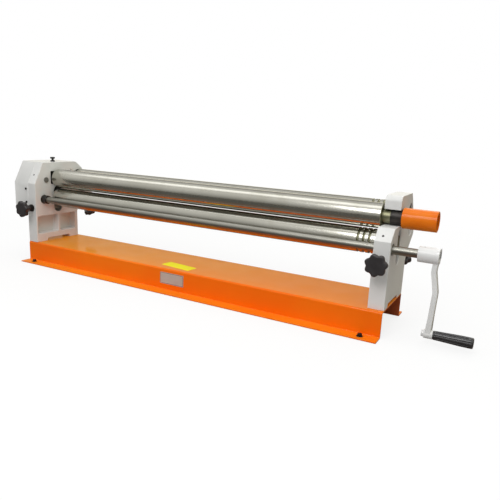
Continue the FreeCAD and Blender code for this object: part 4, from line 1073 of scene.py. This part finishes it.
@dataclass
class Drive(Assembly):
    """Drive shaft, its collar, the crank with its grip, and the release tube."""

    shaft_r: float = 12.0
    seat_r: float = 9.0
    shaft_start: float = -747.0
    seat_end: float = -729.0
    shaft_end: float = 817.0
    collar: Pair = (-653.5, -632.0)
    collar_r: float = 16.0
    collar_edge: float = 0.8
    running_gap: float = 0.03
    crank_round: float = 1.4
    tube: Pair = (704.0, 796.0)
    tube_r: float = 28.5
    tube_wall: float = 4.0
    grip: Pair = (828.5, 928.0)
    grip_r: float = 14.5
    grip_neck_r: float = 12.2
    grip_swell: float = 1.4
    grip_bore_r: float = 5.1
    grip_recess: Pair = (10.0, 8.5)
    flutes: int = 10
    flute_depth: float = 1.9
    flute_sharpness: float = 0.6

    def build(self) -> None:
        """Turn the shaft, collar, tube and grip, and round the crank."""
        self.shaft()
        self.soften("crank_arm", "crank_bar", Body.CRANK, CRANK_ENAMEL, self.crank_round)
        self.dress(BLACK_STEEL, "crank_set_screw")
        self.dress(CRANK_ENAMEL, "grip_spindle")
        self.handle_grip()
        self.release_tube()

    def shaft(self) -> None:
        """Bright bar with its pinion seat, and the black collar on it."""
        axis = centre("drive_shaft")
        place = shift(0, axis.y, axis.z)
        start, step, end = self.shaft_start, self.seat_end, self.shaft_end
        r, seat = self.shaft_r, self.seat_r
        bar = Shape()
        bar.turn([(start, 0), (start, seat - 1), (start + 1, seat), (step, seat), (step, r), (end - 1, r),
                  (end, r - 1), (end, 0)], 64, place=place)
        self.add(bar.to_object("drive_bar"), Body.CRANK, SHAFT_STEEL, "drive_shaft")
        left, right = self.collar
        inner, outer, edge = r + self.running_gap, self.collar_r, self.collar_edge
        ring = Shape()
        ring.turn([(left, inner), (left, outer - edge), (left + edge, outer), (right - edge, outer),
                   (right, outer - edge), (right, inner)], 56, closed=True, place=place)
        self.add(ring.to_object("set_collar"), Body.CRANK, BLACK_STEEL, "shaft_collar")

    def handle_grip(self) -> None:
        """Fluted grip that swells from its neck and ends in a flat cap."""
        start, end = self.grip
        neck, full, bore = self.grip_neck_r, self.grip_r, self.grip_bore_r
        recess, recess_r = self.grip_recess
        lead, slices, around, sharp_deg = 4, 24, 10, 30.0
        profile = [(start, bore), (start, neck - 1), (start + 1, neck)]
        for k in range(slices + 1):
            share = k / slices
            profile.append((start + lead + (end - start - 2 * lead) * share,
                            neck + (full - neck) * min(1.0, self.grip_swell * share)))
        profile += [(end - 1.6, full - 0.5), (end - 0.5, full - 1.6), (end, full - 3.0), (end, recess_r),
                    (end - recess, recess_r), (end - recess, bore)]
        axis = centre("crank_grip")
        shape = Shape()
        for vert in shape.turn(profile, self.flutes * around, closed=True):
            x = vert.co.x / MM
            radius = math.hypot(vert.co.y, vert.co.z) / MM
            # The flutes run out over 6 mm at the neck and 5 mm at the cap.
            fade = min(1.0, max(0.0, (x - start - 2) / 6)) * min(1.0, max(0.0, (end - lead - x) / 5))
            if radius > neck - 1 and fade > 0:
                angle = math.atan2(vert.co.z, vert.co.y)
                valley = max(0.0, -math.cos(self.flutes * angle)) ** self.flute_sharpness
                share = 1 - self.flute_depth * fade * valley / radius
                vert.co.y *= share
                vert.co.z *= share
        shape.move(shift(0, axis.y, axis.z))
        self.add(shape.to_object("fluted_grip", sharp_deg), Body.GRIP, GRIP_PLASTIC, "crank_grip")

    def release_tube(self) -> None:
        """Painted tube that swings the upper roll out."""
        left, right = self.tube
        r, inner = self.tube_r, self.tube_r - self.tube_wall
        axis = centre("release_tube")
        shape = Shape()
        # The left end is chamfered, and the right end, which the hand meets, is rounded.
        shape.turn([(left, inner), (left, r - 1), (left + 1, r), (right - 0.9, r), (right - 0.2, r - 0.5),
                    (right, r - 1.2), (right, inner + 0.8), (right - 0.8, inner)], 96, closed=True,
                   place=shift(0, axis.y, axis.z))
        self.add(shape.to_object("painted_tube"), Body.UPPER_SWING, TUBE_ENAMEL, "release_tube")


# ------------------------------------------------------------------ studio
@dataclass(frozen=True)
class Lamp:
    """One soft box: where it hangs and what it is aimed at, in metres, its sides and its power."""

    name: str
    at: Point
    towards: Point
    size: Pair
    watts: float

    def hang(self) -> None:
        """Add the lamp to the scene."""
        data = bpy.data.lights.new(self.name, "AREA")
        data.shape = "RECTANGLE"
        data.size, data.size_y = self.size
        data.energy = self.watts
        lamp = bpy.data.objects.new(self.name, data)
        aim = Vector(self.towards) - Vector(self.at)
        lamp.matrix_world = Matrix.Translation(self.at) @ aim.to_track_quat("-Z", "Y").to_matrix().to_4x4()
        bpy.context.scene.collection.objects.link(lamp)


@dataclass
class Studio:
    """Pale floor, soft lamps, white surroundings and the camera."""

    camera_at: Point = (1005.8, -1427.0, 529.6)
    yaw_deg: float = -28.52
    pitch_deg: float = -12.894
    roll_deg: float = 2.577
    focal_px: float = 514.2
    frame_px: float = 500.0
    sensor_mm: float = 36.0
    lamps: tuple[Lamp, ...] = (Lamp("key", (0.45, -1.7, 1.75), (0.0, 0.0, 0.2), (1.2, 1.0), 21.0),
                               Lamp("strip", (-0.6, -0.2, 2.8), (-0.6, 0.0, 0.2), (5.0, 1.1), 18.0),
                               Lamp("back", (0.7, 1.7, 1.5), (0.0, 0.0, 0.1), (1.0, 0.8), 7.0))
    # Place, brightness and share of blue that the surroundings have in reflections, from the warm wall
    # behind over the top to the front. Green lies a quarter of the way from blue to red.
    panorama: tuple[Point, ...] = (
        (0.0, 0.95, 0.75), (0.055, 0.85, 0.75), (0.075, 0.25, 0.9), (0.1, 0.2, 0.94), (0.13, 0.6, 0.94),
        (0.19, 0.78, 0.94), (0.36, 0.84, 0.94), (0.417, 0.66, 0.94), (0.455, 0.53, 0.94), (0.483, 0.37, 0.94),
        (0.5, 0.28, 0.94))
    # Strength of the fill at the horizon and straight above, its colour, and the colour that it takes from
    # a cream wall beyond the crank, on faces turned that way by more than this share.
    fill: Pair = (0.2, 0.95)
    fill_colour: Rgba = (1.0, 1.0, 0.99, 1.0)
    wall_colour: Rgba = (1.0, 1.0, 0.5, 1.0)
    wall_from: float = 0.5
    # The floor, in metres: its half width, its gap under the feet, and how far out it turns plain white.
    floor_half: float = 30.0
    floor_gap: float = 0.0005
    floor_fade: Pair = (0.7, 2.2)
    # Share of plain white near the machine, colour in bounced and in direct light, and the colours that
    # the mirrored floor takes between these two places in Y.
    floor_glow: float = 0.82
    floor_colours: tuple[str, str] = ("#a8a8a8", "#f2f2f2")
    mirrored_y: Pair = (-0.32, -0.5)
    mirrored_colours: tuple[str, str] = ("#80695c", "#66645f")

    def build(self) -> None:
        """Set up the camera, the floor, the lamps and the world."""
        self.camera()
        self.floor()
        for lamp in self.lamps:
            lamp.hang()
        self.world()
        bpy.context.scene.view_settings.view_transform = "Standard"

    def camera(self) -> None:
        """Place the camera by its yaw, pitch and roll."""
        yaw, pitch, roll = (math.radians(a) for a in (self.yaw_deg, self.pitch_deg, self.roll_deg))
        ahead = Vector((math.sin(yaw) * math.cos(pitch), math.cos(yaw) * math.cos(pitch), math.sin(pitch)))
        level = Vector((math.cos(yaw), -math.sin(yaw), 0))
        above = level.cross(ahead)
        right = level * math.cos(roll) + above * math.sin(roll)
        up = above * math.cos(roll) - level * math.sin(roll)
        data = bpy.data.cameras.new("camera")
        data.sensor_width = self.sensor_mm
        data.lens = self.focal_px / self.frame_px * self.sensor_mm
        data.clip_start = 10 * MM
        camera = bpy.data.objects.new("camera", data)
        turn = Matrix((right, up, -ahead)).transposed().to_4x4()
        camera.matrix_world = Matrix.Translation(Vector(self.camera_at) * MM) @ turn
        bpy.context.scene.collection.objects.link(camera)
        bpy.context.scene.camera = camera

    def rays(self, tree: Tree) -> tuple[Any, Any]:
        """Return whether a ray is the eye's own, also through glass, and whether it is a reflection."""
        path = add_node(tree, "LightPath").outputs
        return add_node(tree, "Math", {"operation": "MAXIMUM"},
                        {0: path["Is Camera Ray"], 1: path["Is Transmission Ray"]}), path["Is Glossy Ray"]

    def floor(self) -> None:
        """White floor that keeps a soft shadow near the machine and fades to plain white."""
        shape = bmesh.new()
        bmesh.ops.create_grid(shape, x_segments=8, y_segments=8, size=self.floor_half)
        data = bpy.data.meshes.new("floor")
        shape.to_mesh(data)
        shape.free()
        floor = bpy.data.objects.new("floor", data)
        floor.location.z = -self.floor_gap
        bpy.context.scene.collection.objects.link(floor)
        paint = bpy.data.materials.new("floor_white")
        data.materials.append(paint)
        paint.use_nodes = True
        tree = paint.node_tree
        tree.nodes.clear()
        seen, mirrored = self.rays(tree)
        place = add_node(tree, "TexCoord").outputs["Object"]
        distance = add_node(tree, "VectorMath", {"operation": "LENGTH"}, {0: place}).outputs["Value"]
        near, far = self.floor_fade
        plain = add_node(tree, "MapRange", {"From Min": near, "From Max": far, "To Min": self.floor_glow,
                                            "To Max": 1.0}, {"Value": distance})
        share = add_node(tree, "Math", {"operation": "MULTIPLY"}, {0: plain, 1: seen})
        # The floor throws less light back up at the machine than its own whiteness would.
        bounced, direct = (linear(colour) for colour in self.floor_colours)
        cloth = add_node(tree, "Mix", {"data_type": "RGBA", 6: bounced, 7: direct}, {0: seen})
        matt = add_node(tree, "BsdfDiffuse", links={"Color": cloth})
        glow = add_node(tree, "Emission", {"Color": WHITE, "Strength": 1.0})
        lit = add_node(tree, "MixShader", links={0: share, 1: matt, 2: glow})
        # Mirrored in steel and enamel, the floor is the dim lower half of the studio, browner close by.
        brown, grey = (linear(colour) for colour in self.mirrored_colours)
        across = add_node(tree, "SeparateXYZ", links={"Vector": place}).outputs["Y"]
        back, front = self.mirrored_y
        share = add_node(tree, "MapRange", {"From Min": back, "From Max": front}, {"Value": across})
        cast = add_node(tree, "Mix", {"data_type": "RGBA", 6: brown, 7: grey}, {0: share})
        dim = add_node(tree, "Emission", {"Strength": 1.0}, {"Color": cast})
        mix = add_node(tree, "MixShader", links={0: mirrored, 1: lit, 2: dim})
        add_node(tree, "OutputMaterial", links={"Surface": mix})

    def world(self) -> None:
        """White surroundings to the eye, softer and darker above in reflections, even fill for the rest."""
        world = bpy.data.worlds.new("studio")
        bpy.context.scene.world = world
        world.use_nodes = True
        tree = world.node_tree
        tree.nodes.clear()
        seen, mirrored = self.rays(tree)
        way = add_node(tree, "TexCoord").outputs["Generated"]
        parts = add_node(tree, "SeparateXYZ", links={"Vector": way}).outputs
        # Height of the ray over the horizon behind the machine: 0 there, 0.25 overhead, 0.5 in front.
        rise = add_node(tree, "Math", {"operation": "ARCTAN2"}, {0: parts["Z"], 1: parts["Y"]})
        rise = add_node(tree, "Math", {"operation": "DIVIDE", 1: 2 * math.pi}, {0: rise})
        ramp = add_node(tree, "ValToRGB", links={0: rise})
        stops = ramp.color_ramp.elements
        stops.remove(stops[-1])
        for k, (place, grey, blue) in enumerate(self.panorama):
            stop = stops.new(place) if k else stops[0]
            stop.position = place
            stop.color = (grey, grey * (0.75 + 0.25 * blue), grey * blue, 1)
        room = add_node(tree, "Background", {"Strength": 1.0}, {"Color": ramp})
        # The fill comes from above more than from the sides, as in a light tent.
        level, top = self.fill
        above = add_node(tree, "MapRange", {"To Min": level, "To Max": top}, {"Value": parts["Z"]})
        aside = add_node(tree, "MapRange", {"From Min": self.wall_from}, {"Value": parts["X"]})
        wall = add_node(tree, "Mix", {"data_type": "RGBA", 6: self.fill_colour, 7: self.wall_colour},
                        {0: aside})
        fill = add_node(tree, "Background", links={"Color": wall, "Strength": above})
        white = add_node(tree, "Background", {"Color": WHITE, "Strength": 1.0})
        soft = add_node(tree, "MixShader", links={0: mirrored, 1: fill, 2: room})
        full = add_node(tree, "MixShader", links={0: seen, 1: soft, 2: white})
        add_node(tree, "OutputWorld", links={"Surface": full})


def main() -> None:
    """Build the studio and every sub-assembly."""
    logging.basicConfig(level=logging.INFO, format="%(name)s: %(message)s")
    Studio().build()
    for assembly in (BasePlate(), Housings(), Rolls(), Adjusters(), Drive()):
        LOG.info("building %s", type(assembly).__name__)
        assembly.build()


if __name__ == "__main__":
    main()
